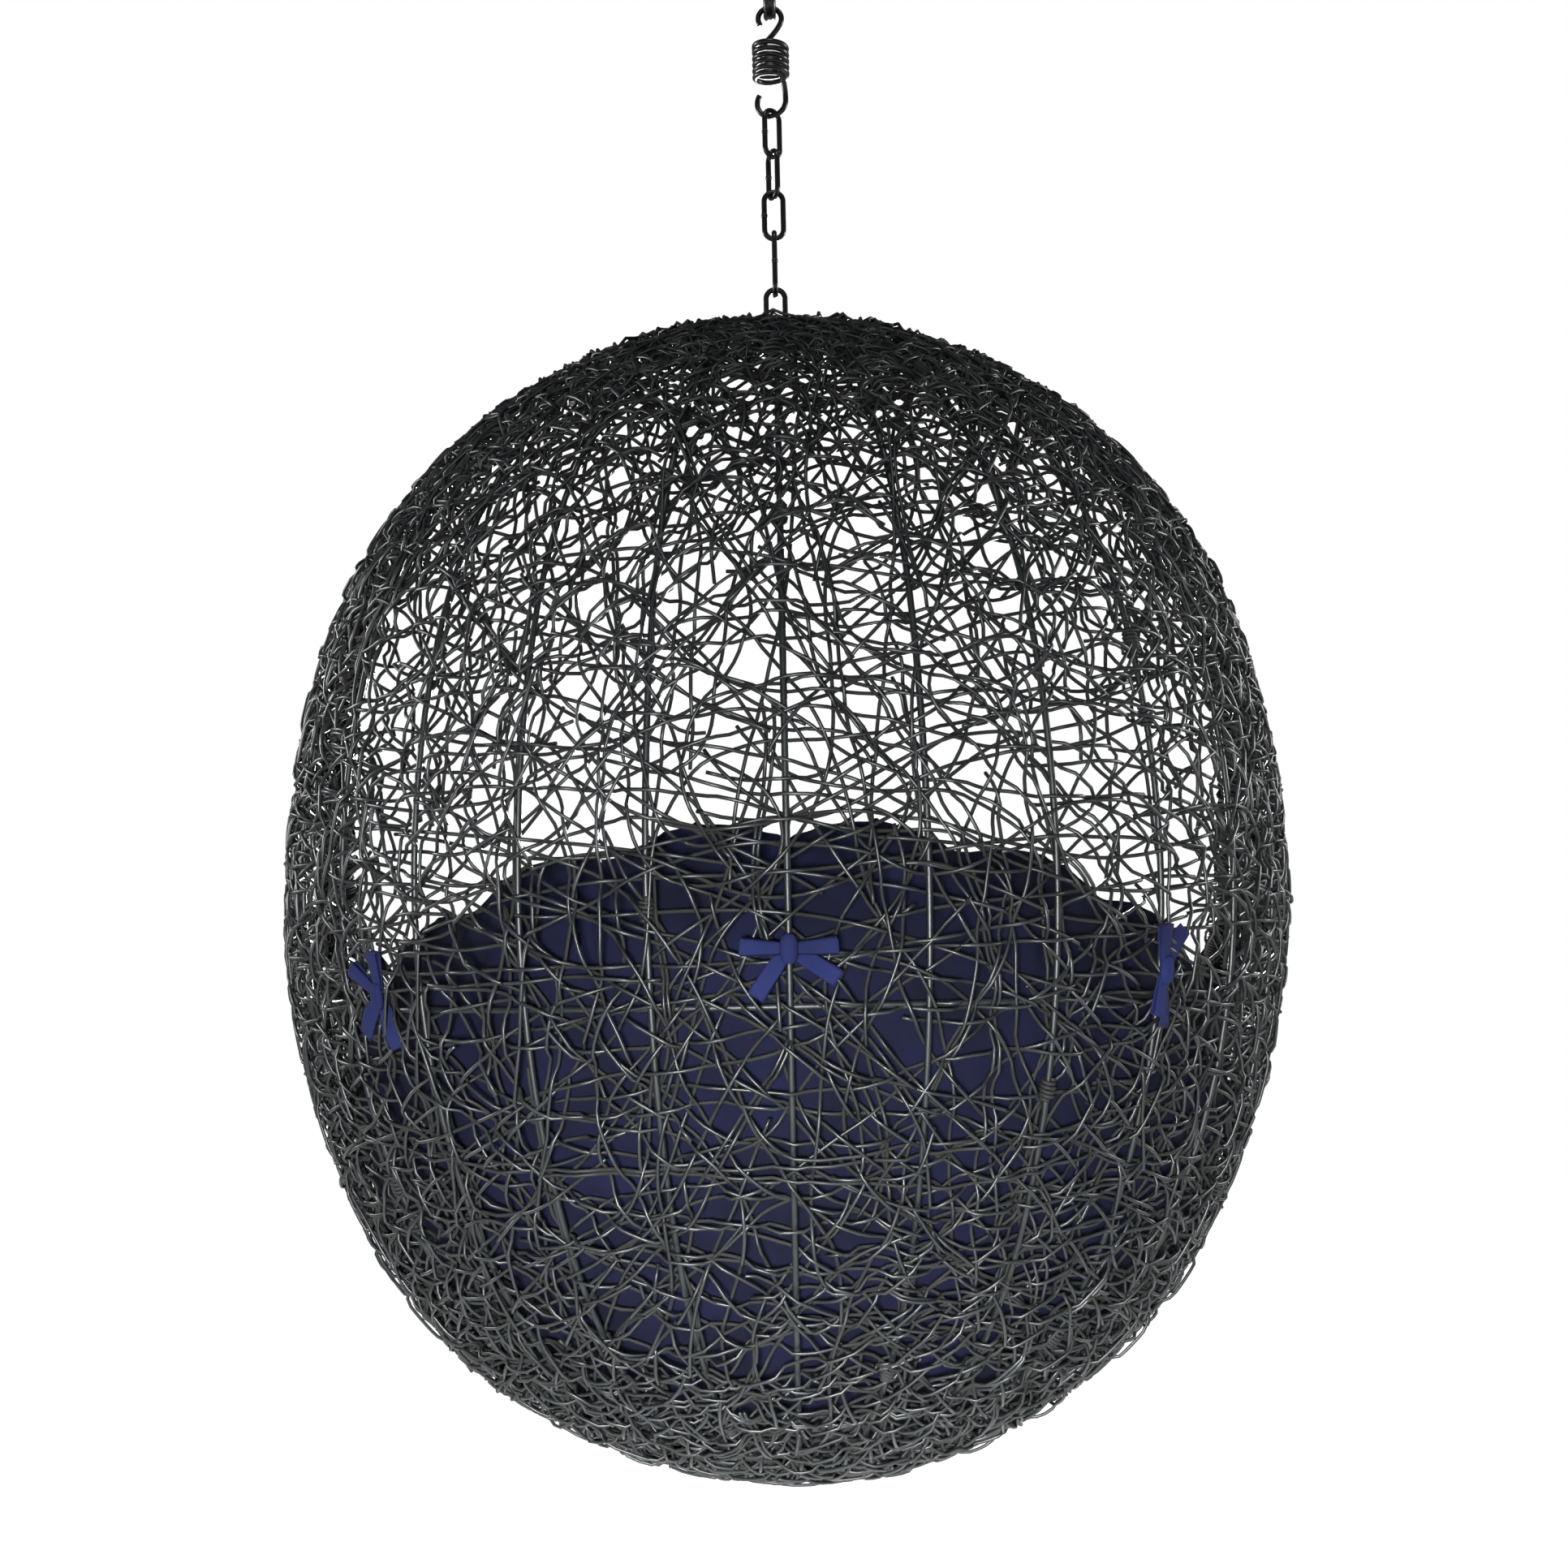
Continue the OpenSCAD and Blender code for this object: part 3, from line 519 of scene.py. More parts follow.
@dataclass(frozen=True)
class Basket:
    """The egg that the ribs lie on, its opening, and where it hangs.

    Args:
        crown: the half above the widest level.
        base: the half below it.
        rim_set_back: how far the opening's top lies behind the axis.
        rim_mid_forward: how far its edge lies in front of the axis at the widest level.
        lip_rise: height of the lip above the base.
        rim_r: radius of the rim tube.
        eye_h: height of the eye above the rim's middle.
        lean: how far the basket leans back.
        eye_z: height of the eye under the hang point.
        rib_r: radius of a rib.
        rib_pairs: pairs of ribs between the back one and the front one.
    """

    crown: HalfProfile = HalfProfile(571 * MM, 1.13)
    base: HalfProfile = HalfProfile(574 * MM, 1.105)
    rim_set_back: float = 10 * MM
    rim_mid_forward: float = 130 * MM
    lip_rise: float = 124 * MM
    rim_r: float = 11 * MM
    eye_h: float = 46 * MM
    lean: float = math.radians(5.8)
    eye_z: float = -347.592 * MM
    rib_r: float = 3 * MM
    rib_pairs: int = 12

    @property
    def rib_step(self) -> float:
        """Angle between neighbouring ribs."""
        return math.pi / (self.rib_pairs + 1)

    @property
    def pole_to_pole(self) -> float:
        """Length of a whole meridian."""
        return sum(h.end_r * h.meet + h.side_r * (math.pi / 2 - h.meet) for h in (self.base, self.crown))

    @property
    def arc_ends(self) -> tuple[float, float, float]:
        """Lengths along a meridian from the base's pole to where its arcs meet."""
        b, c = self.base, self.crown
        low = b.end_r * b.meet
        middle = low + b.side_r * (math.pi / 2 - b.meet)
        return low, middle, middle + c.side_r * (math.pi / 2 - c.meet)

    @property
    def lip_z(self) -> float:
        """Height of the opening's lip over the widest level."""
        return self.lip_rise - self.base.height

    @property
    def top_z(self) -> float:
        """Height of the opening's top over the widest level."""
        return self.crown.end_c + math.sqrt(self.crown.end_r ** 2 - self.rim_set_back ** 2)

    @property
    def eye(self) -> Array:
        """Where the eye lies about the basket's middle."""
        return np.array([0, self.rim_set_back, self.top_z + self.eye_h])

    def radius_at(self, z: Array) -> Array:
        """Radius of the egg at heights over the widest level: each half's side arc, then its end arc."""
        z = np.asarray(z, float)
        out = np.zeros_like(z)
        for half, sign in ((self.crown, 1), (self.base, -1)):
            h = z * sign
            side = half.side_c + np.sqrt(np.maximum(0, half.side_r ** 2 - h * h))
            end = np.sqrt(np.maximum(0, half.end_r ** 2 - (h - half.end_c) ** 2))
            here = np.where(h < half.side_r * math.cos(half.meet), side, end)
            out = np.where(h >= 0, here, out)
        return out

    @property
    def rim_circle(self) -> tuple[Array, float]:
        """Centre (y, z) and radius of the circle that the opening's edge lies on, seen from the side.

        The circle passes through the edge's top, its middle and its lip.
        """
        a = np.array([self.rim_set_back, self.top_z])
        b = np.array([-self.rim_mid_forward, 0.0])
        c = np.array([-float(self.radius_at(self.lip_z)), self.lip_z])
        d = 2 * (a[0] * (b[1] - c[1]) + b[0] * (c[1] - a[1]) + c[0] * (a[1] - b[1]))
        aa, bb, cc = a @ a, b @ b, c @ c
        centre = np.array([(aa * (b[1] - c[1]) + bb * (c[1] - a[1]) + cc * (a[1] - b[1])) / d,
                           (aa * (c[0] - b[0]) + bb * (a[0] - c[0]) + cc * (b[0] - a[0])) / d])
        return centre, float(np.linalg.norm(a - centre))

    def room(self, p: Array) -> tuple[Array, Array]:
        """How far points lie behind the opening's edge, and the direction in which that grows.

        Args:
            p: points about the basket's middle.

        Returns:
            Distances from the rim's circle, and unit directions away from its centre.
        """
        centre, radius = self.rim_circle
        v = p[..., 1:] - centre
        away = unit(v)
        return np.linalg.norm(v, axis=-1) - radius, np.concatenate([np.zeros_like(away[..., :1]), away], -1)

    def foot(self, p: Array) -> tuple[Array, Array]:
        """The egg's points nearest to given points.

        Each point belongs to an end arc or a side arc by its angle from the pole, and its foot is the
        arc's centre plus the arc's radius along the unit direction from that centre.

        Args:
            p: points about the basket's middle.

        Returns:
            The feet and the outward normals there.
        """
        rho = np.hypot(p[..., 0], p[..., 1])
        z = p[..., 2]
        up = z >= 0
        pick = lambda name: np.where(up, getattr(self.crown, name), getattr(self.base, name))
        h = np.where(up, z, -z)
        in_end = np.arctan2(rho, h - pick("end_c")) < pick("meet")
        c_r, c_h = np.where(in_end, 0.0, pick("side_c")), np.where(in_end, pick("end_c"), 0.0)
        radius = np.where(in_end, pick("end_r"), pick("side_r"))
        n_r, n_h = rho - c_r, h - c_h
        size = np.maximum(np.hypot(n_r, n_h), 1e-9)
        n_r, n_h = n_r / size, n_h / size
        cos_a = np.where(rho > 1e-9, p[..., 0] / np.maximum(rho, 1e-9), 1.0)
        sin_a = np.where(rho > 1e-9, p[..., 1] / np.maximum(rho, 1e-9), 0.0)
        normal = np.stack([n_r * cos_a, n_r * sin_a, np.where(up, n_h, -n_h)], -1)
        r = c_r + radius * n_r
        feet = np.stack([r * cos_a, r * sin_a, np.where(up, 1, -1) * (c_h + radius * n_h)], -1)
        return feet, normal

    def rim_points(self, turn: Array) -> Array:
        """Points of the opening's edge, a full turn starting on top.

        The height is halfway plus half the edge's height times cos a, y follows the rim's circle, and x
        is what puts the point on the egg.
        """
        centre, radius = self.rim_circle
        z = (self.top_z + self.lip_z) / 2 + (self.top_z - self.lip_z) / 2 * np.cos(turn)
        y = centre[0] + np.sqrt(radius ** 2 - (z - centre[1]) ** 2)
        x = np.sqrt(np.maximum(0, self.radius_at(z) ** 2 - y * y))
        return np.stack([np.where(np.sin(turn) < 0, -x, x), y, z], -1)

    def hung(self, p: Array) -> Array:
        """Points about the basket's middle, leaned and hung on the eye."""
        return turned(p - self.eye, -self.lean, 1) + self.eye_z * UP

    def unhung(self, p: Array) -> Array:
        """Points about the basket's middle, from where they hang."""
        return turned(p - self.eye_z * UP, self.lean, 1) + self.eye

    def meridian(self, s: Array, off: Array | float = 0.0) -> tuple[Array, Array, Array]:
        """Points of a meridian at lengths from the base's pole.

        Args:
            s: lengths along it.
            off: how far outside it.

        Returns:
            Radius, height and slope, which runs from 0 at the base to pi on top.
        """
        b, c = self.base, self.crown
        low, middle, high = self.arc_ends
        cuts = [s < low, s < middle, s < high]
        a = np.select(cuts, [s / b.end_r, b.meet + (s - low) / b.side_r,
                             math.pi / 2 + (s - middle) / c.side_r], math.pi - c.meet + (s - high) / c.end_r)
        radius = np.select(cuts, [b.end_r, b.side_r, c.side_r], c.end_r) + off
        c_r = np.select(cuts, [0.0, b.side_c, c.side_c], 0.0)
        c_z = np.select(cuts, [-b.end_c, 0.0, 0.0], c.end_c)
        return c_r + radius * np.sin(a), c_z - radius * np.cos(a), a

    def on_wall(self, s: Array, azimuth: Array, off: Array | float = 0.0) -> Array:
        """Points of the wall at lengths from the base and angles from the back towards +X."""
        r, z, _ = self.meridian(s, off)
        return np.stack([r * np.sin(azimuth), r * np.cos(azimuth), z], -1)

    def wall_length(self, drop: float) -> float:
        """Length along the wall from the base to a depth below the widest level."""
        return self.arc_ends[1] - self.base.side_r * math.asin(drop / self.base.side_r)


# ---------------------------------------------------------------- wicker


class Region(Enum):
    """Parts of the wall that strands start in."""

    WALL = "wall"
    EDGE = "edge"
    CROWN = "crown"
    BASE = "base"


@dataclass(frozen=True)
class Population:
    """A kind of strand in the wall.

    Args:
        metres: how much of it is laid.
        length: shortest and longest strand.
        sway: spread of a strand's slow bends, in radians a metre.
        swing: distance over which it sways.
        kinks: sharp bends to a metre.
        kink: spread of a sharp bend's angle.
        kink_l: half of a sharp bend's length.
        where: the region that it starts in.
        step: distance between its points.
        over: how far it weaves to each side of the ribs.
        lift: how far outside the ribs it lies on the whole.
        period: distance over which it goes over and under once.
        partner: chance of a strand that runs beside it for a while.
        level: pull towards level, in radians a metre.
    """

    metres: float
    length: tuple[float, float]
    sway: float
    swing: tuple[float, float]
    kinks: float
    kink: float
    kink_l: float
    where: Region
    step: float = 10 * MM
    over: float = 6.0 * MM
    lift: float = 0.0
    period: tuple[float, float] = (60 * MM, 115 * MM)
    partner: float = 0.14
    level: float = 2.2


@dataclass
class Wicker:
    """Strands woven at random through the ribs, and wound round the rim.

    Args:
        basket: what they are woven on.
        strand_r: radius of a strand.
        sides: of a strand's rings.
        cell_w: width of the cells in which the strands are counted, so that they fill the wall evenly.
        tries: strands that are tried for each one laid.
        batch: strands laid between two walks.
        columns: most cells in a row, by which the cells are numbered.
        shy: distance from the rim within which a strand is turned to run beside it.
        groups: pieces that the wall's strands are shared out to.
        seed: of the random numbers.
    """

    basket: Basket
    strand_r: float = 1.75 * MM
    sides: int = 5
    cell_w: float = 22 * MM
    tries: int = 10
    batch: int = 50
    columns: int = 256
    shy: float = 45 * MM
    groups: int = 8
    seed: int = 11

    def __post_init__(self) -> None:
        """Starts the random numbers, and the count of strands in each cell of the wall by direction."""
        self.rng = np.random.default_rng(self.seed)
        self.lengths = np.linspace(0, self.basket.pole_to_pole, 600)
        radius, height, _ = self.basket.meridian(self.lengths)
        self.polar = np.arctan2(np.abs(radius), -height)
        rows = np.arange(int(self.basket.pole_to_pole / self.cell_w) + 2)
        widths = np.interp((rows + 0.5) * self.cell_w, self.lengths, radius)
        self.filled = np.maximum(1, (2 * np.pi * widths / self.cell_w).astype(int))
        self.cover = np.zeros((len(rows) * self.columns, 4))

    def cell(self, p: Array) -> Array:
        """Numbers of the cells that points lie in: rows up the wall, each cut into cells of one width."""
        polar = np.arctan2(np.hypot(p[..., 0], p[..., 1]), -p[..., 2])
        row = (np.interp(polar, self.polar, self.lengths) / self.cell_w).astype(int)
        turn = np.arctan2(p[..., 0], p[..., 1]) / (2 * np.pi) % 1
        return row * self.columns + np.minimum(turn * self.filled[row], self.filled[row] - 1).astype(int)

    def direction(self, path: Array) -> Array:
        """Which of four directions, an eighth of a turn apart, each point's line runs in."""
        along = np.gradient(path, axis=1)
        level, steep = level_and_steep(self.basket.foot(path)[1])
        angle = np.arctan2(dot(along, steep), dot(along, level))[..., 0]
        return np.minimum((angle / np.pi % 1 * 4).astype(int), 3)

    def wanted(self, p: Array) -> Array:
        """How thick the strands lie at points, where the middle of the back is 1."""
        room, _ = self.basket.room(p)
        edge = 1.7 * hump(np.maximum(room, 0), 62 * MM)
        crown = 0.7 * smooth(p[..., 2], 0.40, 0.55)
        base = 0.1 * smooth(-p[..., 2], 0.42, 0.55)
        return 1 + edge + crown + base

    def swell(self, p: Array) -> Array:
        """How far the outermost strands stand off the ribs: most under the base and on the left."""
        left = smooth(p[..., 0], 0.1, 0.45) * smooth(-p[..., 2], -0.25, 0.2)
        return (1.0 + 6.0 * smooth(-p[..., 2], 0.12, 0.52) + 6.0 * left) * MM

    def starts(self, count: int, where: Region) -> Array:
        """Random points of a region of the wall, behind the opening's edge."""
        half_sizes = np.array([0.49, 0.49, 0.57])
        found = np.zeros((0, 3))
        while len(found) < count:
            p, _ = self.basket.foot(unit(self.rng.normal(size=(count * 6, 3))) * half_sizes)
            room, _ = self.basket.room(p)
            inside = {Region.WALL: True, Region.EDGE: room < 85 * MM, Region.CROWN: p[:, 2] > 0.40,
                      Region.BASE: p[:, 2] < -0.42}
            found = np.concatenate([found, p[(room > 6 * MM) & inside[where]]])
        return found[:count]

    def bends(self, kind: Population, count: int, steps: int) -> Array:
        """Curvature along strands: two slow waves, and sharp bends shaped as humps."""
        rng = self.rng
        t = kind.step * np.arange(steps)
        bend = np.zeros((count, steps))
        for _ in range(2):
            span, at = rng.uniform(*kind.swing, (count, 1)), rng.uniform(0, 2 * np.pi, (count, 1))
            bend += rng.normal(0, kind.sway, (count, 1)) * np.sin(2 * np.pi * t / span + at)
        for _ in range(max(1, round(kind.kinks * kind.length[1]))):
            place, angle = rng.uniform(0, kind.length[1], (count, 1)), rng.normal(0, kind.kink, (count, 1))
            bend += angle / (kind.kink_l * math.sqrt(math.pi)) * hump(t - place, kind.kink_l)
        return bend

    def walked(self, kind: Population, count: int) -> tuple[Array, Array]:
        """Lines that wander over the egg.

        At each step a line moves along its direction and drops back onto the egg, and its direction
        turns about the normal by its bend, less a pull towards level of `level` times sin 2 slope.
        Near the rim it is turned to run beside it.

        Args:
            kind: the population.
            count: how many lines.

        Returns:
            Points, a row for each line, and how many of each row are used.
        """
        rng = self.rng
        p = self.starts(count, kind.where)
        _, normal = self.basket.foot(p)
        level, steep = level_and_steep(normal)
        angle = rng.uniform(-np.pi, np.pi, (count, 1))
        heading = np.cos(angle) * level + np.sin(angle) * steep
        lengths = rng.uniform(*kind.length, count)
        steps = int(kind.length[1] / kind.step)
        bend = self.bends(kind, count, steps)
        path = np.zeros((count, steps, 3))
        used = np.zeros((count, steps), bool)
        going = np.ones(count, bool)
        for i in range(steps):
            path[:, i], used[:, i] = p, going & (i * kind.step < lengths)
            room, away = self.basket.room(p)
            inward = unit(away - dot(away, normal) * normal)
            towards = np.clip(0.1 - dot(heading, inward)[:, 0], 0, 1)
            push = np.clip(1 - (room - 4 * MM) / self.shy, 0, 1) ** 2 * 55 * towards
            level, steep = level_and_steep(normal)
            slope = 2 * dot(heading, level) * dot(heading, steep)
            turn = bend[:, i:i + 1] - kind.level * slope
            heading = unit(heading + kind.step * (turn * np.cross(normal, heading) + push[:, None] * inward))
            p, normal = self.basket.foot(p + kind.step * heading)
            heading = unit(heading - dot(heading, normal) * normal)
            going &= self.basket.room(p)[0] > -2 * MM
        counts = used.sum(1)
        good = counts >= 5
        return path[good], counts[good]

    def laid(self, kind: Population) -> Strands:
        """Strands of one kind, each the best of a few tries.

        A try's score is the mean, over its points, of the strand already in the cell divided by what is
        wanted there, and strand that runs its way counts more. The lowest is laid and counted.
        """
        parts = []
        metres = 0.0
        while metres < kind.metres:
            path, counts = self.walked(kind, self.batch * self.tries)
            cells, ways = self.cell(path), self.direction(path)
            weight = (np.arange(path.shape[1]) < counts[:, None]) / self.wanted(path)
            chosen = []
            for first in range(0, len(path) - self.tries, self.tries):
                group = slice(first, first + self.tries)
                here = self.cover[cells[group]]
                same = np.take_along_axis(here, ways[group][..., None], -1)[..., 0]
                crowd = ((here.sum(-1) + 3 * same) * weight[group]).sum(1) / counts[group]
                best = first + int(np.argmin(crowd))
                chosen.append(best)
                end = counts[best]
                np.add.at(self.cover, (cells[best, :end], ways[best, :end]), kind.step)
            part = self.woven(path[chosen], counts[chosen], kind)
            metres += part.length()
            parts.append(part)
        return joined(parts)

    def woven(self, path: Array, counts: Array, kind: Population) -> Strands:
        """Strands with their partners, moved off the egg so that they pass over and under the ribs.

        The offset is over * tanh(1.8 w). Here w is a wave cos(3 pi azimuth / rib step + phase), which
        is at its end at every rib, plus a wave along the strand that fades at the ribs. A partner lies
        beside its strand where they meet and parts from it as the square of the distance from there.

        Args:
            path: points on the egg, a row for each strand.
            counts: how many points of each row are used.
            kind: the population.

        Returns:
            The strands.
        """
        rng = self.rng
        n, m, _ = path.shape
        twins = np.flatnonzero(rng.random(n) < kind.partner)
        source = np.concatenate([np.arange(n), twins])
        shared = lambda values: values[source][:, None]
        k = len(source)
        twin = (np.arange(k) >= n)[:, None]
        t = np.arange(m)[None, :] * kind.step
        path, counts = path[source], counts[source]
        along = unit(np.gradient(path, axis=1))
        _, normal = self.basket.foot(path)
        meet = rng.uniform(0, 1, (k, 1)) * counts[:, None] * kind.step
        part = np.minimum(((t - meet) / (90 * MM)) ** 2 * 3 * MM, 30 * MM)
        apart = np.where(twin, np.where(rng.random((k, 1)) < 0.5, -1, 1) * (2.1 * self.strand_r + part), 0)
        path, normal = self.basket.foot(path + apart[..., None] * np.cross(normal, along))
        azimuth, rho = np.arctan2(path[..., 0], path[..., 1]), np.hypot(path[..., 0], path[..., 1])
        phase = shared(rng.integers(0, 2, n)) * np.pi
        at_ribs = np.cos(3 * np.pi * azimuth / self.basket.rib_step + phase)
        share = smooth(rho, 0.12, 0.3)
        between = np.abs((azimuth / self.basket.rib_step + 0.5) % 1 - 0.5) * self.basket.rib_step * rho
        near = hump(between, 9 * MM)
        wave = np.sin(2 * np.pi * t / shared(rng.uniform(*kind.period, n))
                      + shared(rng.uniform(0, 2 * np.pi, n)))
        side = np.tanh(1.8 * (share * at_ribs + (1.25 - share * near) * wave))
        layer = shared(rng.uniform(-2.0, 2.0, n)) * MM + rng.uniform(-0.4, 0.4, (k, 1)) * MM
        swell = shared(rng.uniform(0, 1, n)) * self.swell(path)
        inward = 3.5 * MM * smooth(path[..., 2], 0.42, 0.54)
        off = kind.lift + layer + kind.over * side + swell - inward
        from_end = np.minimum(t, (counts[:, None] - 1) * kind.step - t)
        tuck = rng.choice([-5.0, 2.5], (k, 1), p=[0.85, 0.15]) * MM
        off = off + tuck * (1 - smooth(from_end, 0, 0.03))
        used = np.arange(m)[None, :] < counts[:, None]
        shade = np.clip(rng.beta(2, 3, n)[source] + rng.normal(0, 0.05, k), 0, 1)[:, None]
        # Tone: each strand's own random shade, times painted shade that falls to a tenth where it dives under
        # the ribs and other strands.
        tone = (0.35 + 0.65 * shade) * (0.1 + 0.9 * smooth(side, -0.3, 0.9)) + 0 * t
        path = path + off[..., None] * normal
        return Strands(path[used], normal[used], counts, tone[used])

    def bindings(self, count: int = 60) -> Strands:
        """Short windings that bind the strands to the ribs.

        Points stand at rib + r (cos a * out + sin a * across) + pitch * a / (2 pi) along the rib.

        Args:
            count: how many are tried, of which those on the wall are kept.

        Returns:
            The windings.
        """
        rng = self.rng
        azimuth = rng.integers(0, 2 * self.basket.rib_pairs + 2, (count, 1)) * self.basket.rib_step
        s = rng.uniform(0.25, self.basket.pole_to_pole - 0.2, (count, 1))
        room, _ = self.basket.room(self.basket.on_wall(s, azimuth))
        keep = room[:, 0] > 40 * MM
        azimuth, s = azimuth[keep], s[keep]
        turns, around, pitch = 5, 9, 2.15 * self.strand_r
        a = 2 * np.pi * np.arange(turns * around + 1)[None, :] / around
        azimuth = azimuth + 0 * a
        centre = self.basket.on_wall(s + pitch * (a / (2 * np.pi) - turns / 2), azimuth)
        _, out = self.basket.foot(centre)
        across = np.stack([np.cos(azimuth), -np.sin(azimuth), np.zeros_like(azimuth)], -1)
        facing = np.cos(a)[..., None] * out + np.sin(a)[..., None] * across
        swell = np.sin(np.linspace(0, np.pi, a.shape[1])) * 1.2 * MM
        path = centre + (self.basket.rib_r + self.strand_r + swell)[:, None] * facing
        return Strands.alike(path, facing, 0.12)

    def winding(self, pitch: float = 3.3 * MM, around: int = 12) -> Strands:
        """The strand wound round the rim tube: a helix about the edge's line.

        Points stand at edge + r (cos a * out + sin a * across), with a growing by a full turn each pitch.

        Args:
            pitch: distance between turns.
            around: points to a turn.

        Returns:
            One long strand that stops short of the eye on both sides.
        """
        turn = np.linspace(0, 2 * np.pi, 4001)
        edge = self.basket.rim_points(turn)
        run = run_along(edge)
        gap = 30 * MM
        turns = int((run[-1] - 2 * gap) / pitch)
        s = gap + (run[-1] - 2 * gap) * np.arange(turns * around) / (turns * around - 1)
        centre = np.stack([np.interp(s, run, edge[:, i]) for i in range(3)], -1)
        along = unit(np.gradient(centre, axis=0))
        out = unit(np.cross(along, OUT))
        across = np.cross(along, out)
        a = 2 * np.pi * np.arange(len(s)) / around
        uneven = 0.6 * MM * np.sin(a / 7.3) * np.sin(a / 23.1)
        r = self.basket.rim_r + self.strand_r + 0.5 * MM + np.maximum(uneven, 0)
        facing = np.cos(a)[:, None] * out + np.sin(a)[:, None] * across
        return Strands.alike((centre + r[:, None] * facing)[None], facing[None], 0.3)

    def rim_laces(self, count: int = 620) -> Strands:
        """Strands that come off the wall, pass round the rim and go back inside it.

        Each follows the rim tube's section from the outside over the front, with both ends drawn out
        along the wall by a random reach and along the rim by a random slant.

        Args:
            count: how many.

        Returns:
            The strands.
        """
        rng = self.rng
        turn = rng.uniform(0.02, 2 * np.pi - 0.02, count)
        centre = self.basket.rim_points(turn)
        ahead = self.basket.rim_points(turn + 1e-3)
        along = unit(ahead - centre)
        _, out = self.basket.foot(centre)
        out = unit(out - dot(out, along) * along)
        back = np.cross(along, out)
        _, away = self.basket.room(centre)
        back *= np.sign(dot(back, away))
        u = np.linspace(-1, 1, 16)[None, :, None]
        reach_a, reach_b = rng.uniform(0.02, 0.07, (2, count, 1, 1))
        a = np.clip(u * 2.1, -1.25, 1.25) * (np.pi / 2) * 1.05
        r = self.basket.rim_r + 3 * self.strand_r + 0.8 * MM + rng.uniform(0, 2.5, (count, 1, 1)) * MM
        tail = np.maximum(np.abs(u) - 0.55, 0) / 0.45
        reach = np.where(u < 0, reach_a, reach_b) * tail
        slant = rng.normal(0, 0.035, (count, 1, 1)) * u
        ring = np.sin(a) * out[:, None] - np.cos(a) * back[:, None]
        path = centre[:, None] + r * ring + reach * back[:, None] + slant * along[:, None]
        flat, normal = self.basket.foot(path)
        depth = dot(path - flat, normal)
        wanted = np.sign(depth) * np.minimum(np.abs(depth), 7 * MM)
        depth = depth + (wanted - depth) * smooth(tail, 0.3, 0.9)
        path = np.where(tail > 0.3, flat + depth * normal, path)
        path += rng.normal(0, 0.5 * MM, (count, 1, 3))
        return Strands.alike(path, ring, rng.beta(2, 3, (count, 1)))

    def build(self, material: Material) -> None:
        """Makes the wall's strands in several pieces, and the strands round the rim and the ribs."""
        kinds = [
            Population(550, (1.0, 3.0), 3.6, (0.22, 0.6), 0.8, 0.8, 50 * MM, Region.WALL, level=1.4),
            Population(90, (0.3, 0.9), 3.0, (0.2, 0.5), 3.0, 1.0, 28 * MM, Region.EDGE, lift=1.5 * MM),
            Population(95, (0.10, 0.34), 6.0, (0.1, 0.2), 8.0, 1.5, 18 * MM, Region.EDGE, 7 * MM,
                       lift=3.0 * MM, period=(45 * MM, 90 * MM), partner=0.0),
            Population(30, (0.2, 0.6), 4.0, (0.15, 0.3), 4.0, 1.2, 26 * MM, Region.CROWN, 8 * MM,
                       lift=1.0 * MM),
            Population(14, (0.3, 0.9), 3.0, (0.2, 0.4), 2.0, 1.0, 40 * MM, Region.BASE, 8 * MM,
                       lift=2.0 * MM),
        ]
        wall = joined([self.laid(kind) for kind in kinds])
        log.info("wicker wall: %d strands, %.0f m", len(wall.counts), wall.length())
        group = np.arange(len(wall.counts)) % self.groups
        parts = {f"wicker_strands_{i + 1}": wall.take(group == i) for i in range(self.groups)}
        parts |= {"rim_winding": self.winding(), "rim_laces": self.rim_laces(),
                  "rib_bindings": self.bindings()}
        stands_for = {"wicker_strands_1": "wicker_shell", "rim_winding": "rim_wrap"}
        for name, part in parts.items():
            part.points = self.basket.hung(part.points)
            part.facing = turned(part.facing, -self.basket.lean, 1)
            piece = part.swept(self.strand_r, self.sides).to_object(name, material)
            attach(piece, "basket")
            if name in stands_for:
                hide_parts(stands_for[name])


# ---------------------------------------------------------------- spring


class Hook(Enum):
    """The spring's hooks.

    Each has its node, the body it rides on, the share of the coil it starts from, the height of its
    arc's middle, the arc's outside diameter, its plane's turn about the vertical, and how far its curve
    runs on along the coil's wire.
    """

    TOP = ("spring_top_hook", "spring_top", 0, -50.6425 * MM, 30 * MM, 0.0, 12 * MM)
    BOTTOM = ("spring_bottom_hook", "spring_bottom", 1, -143.042 * MM, 36.8 * MM, math.radians(-18), 5 * MM)


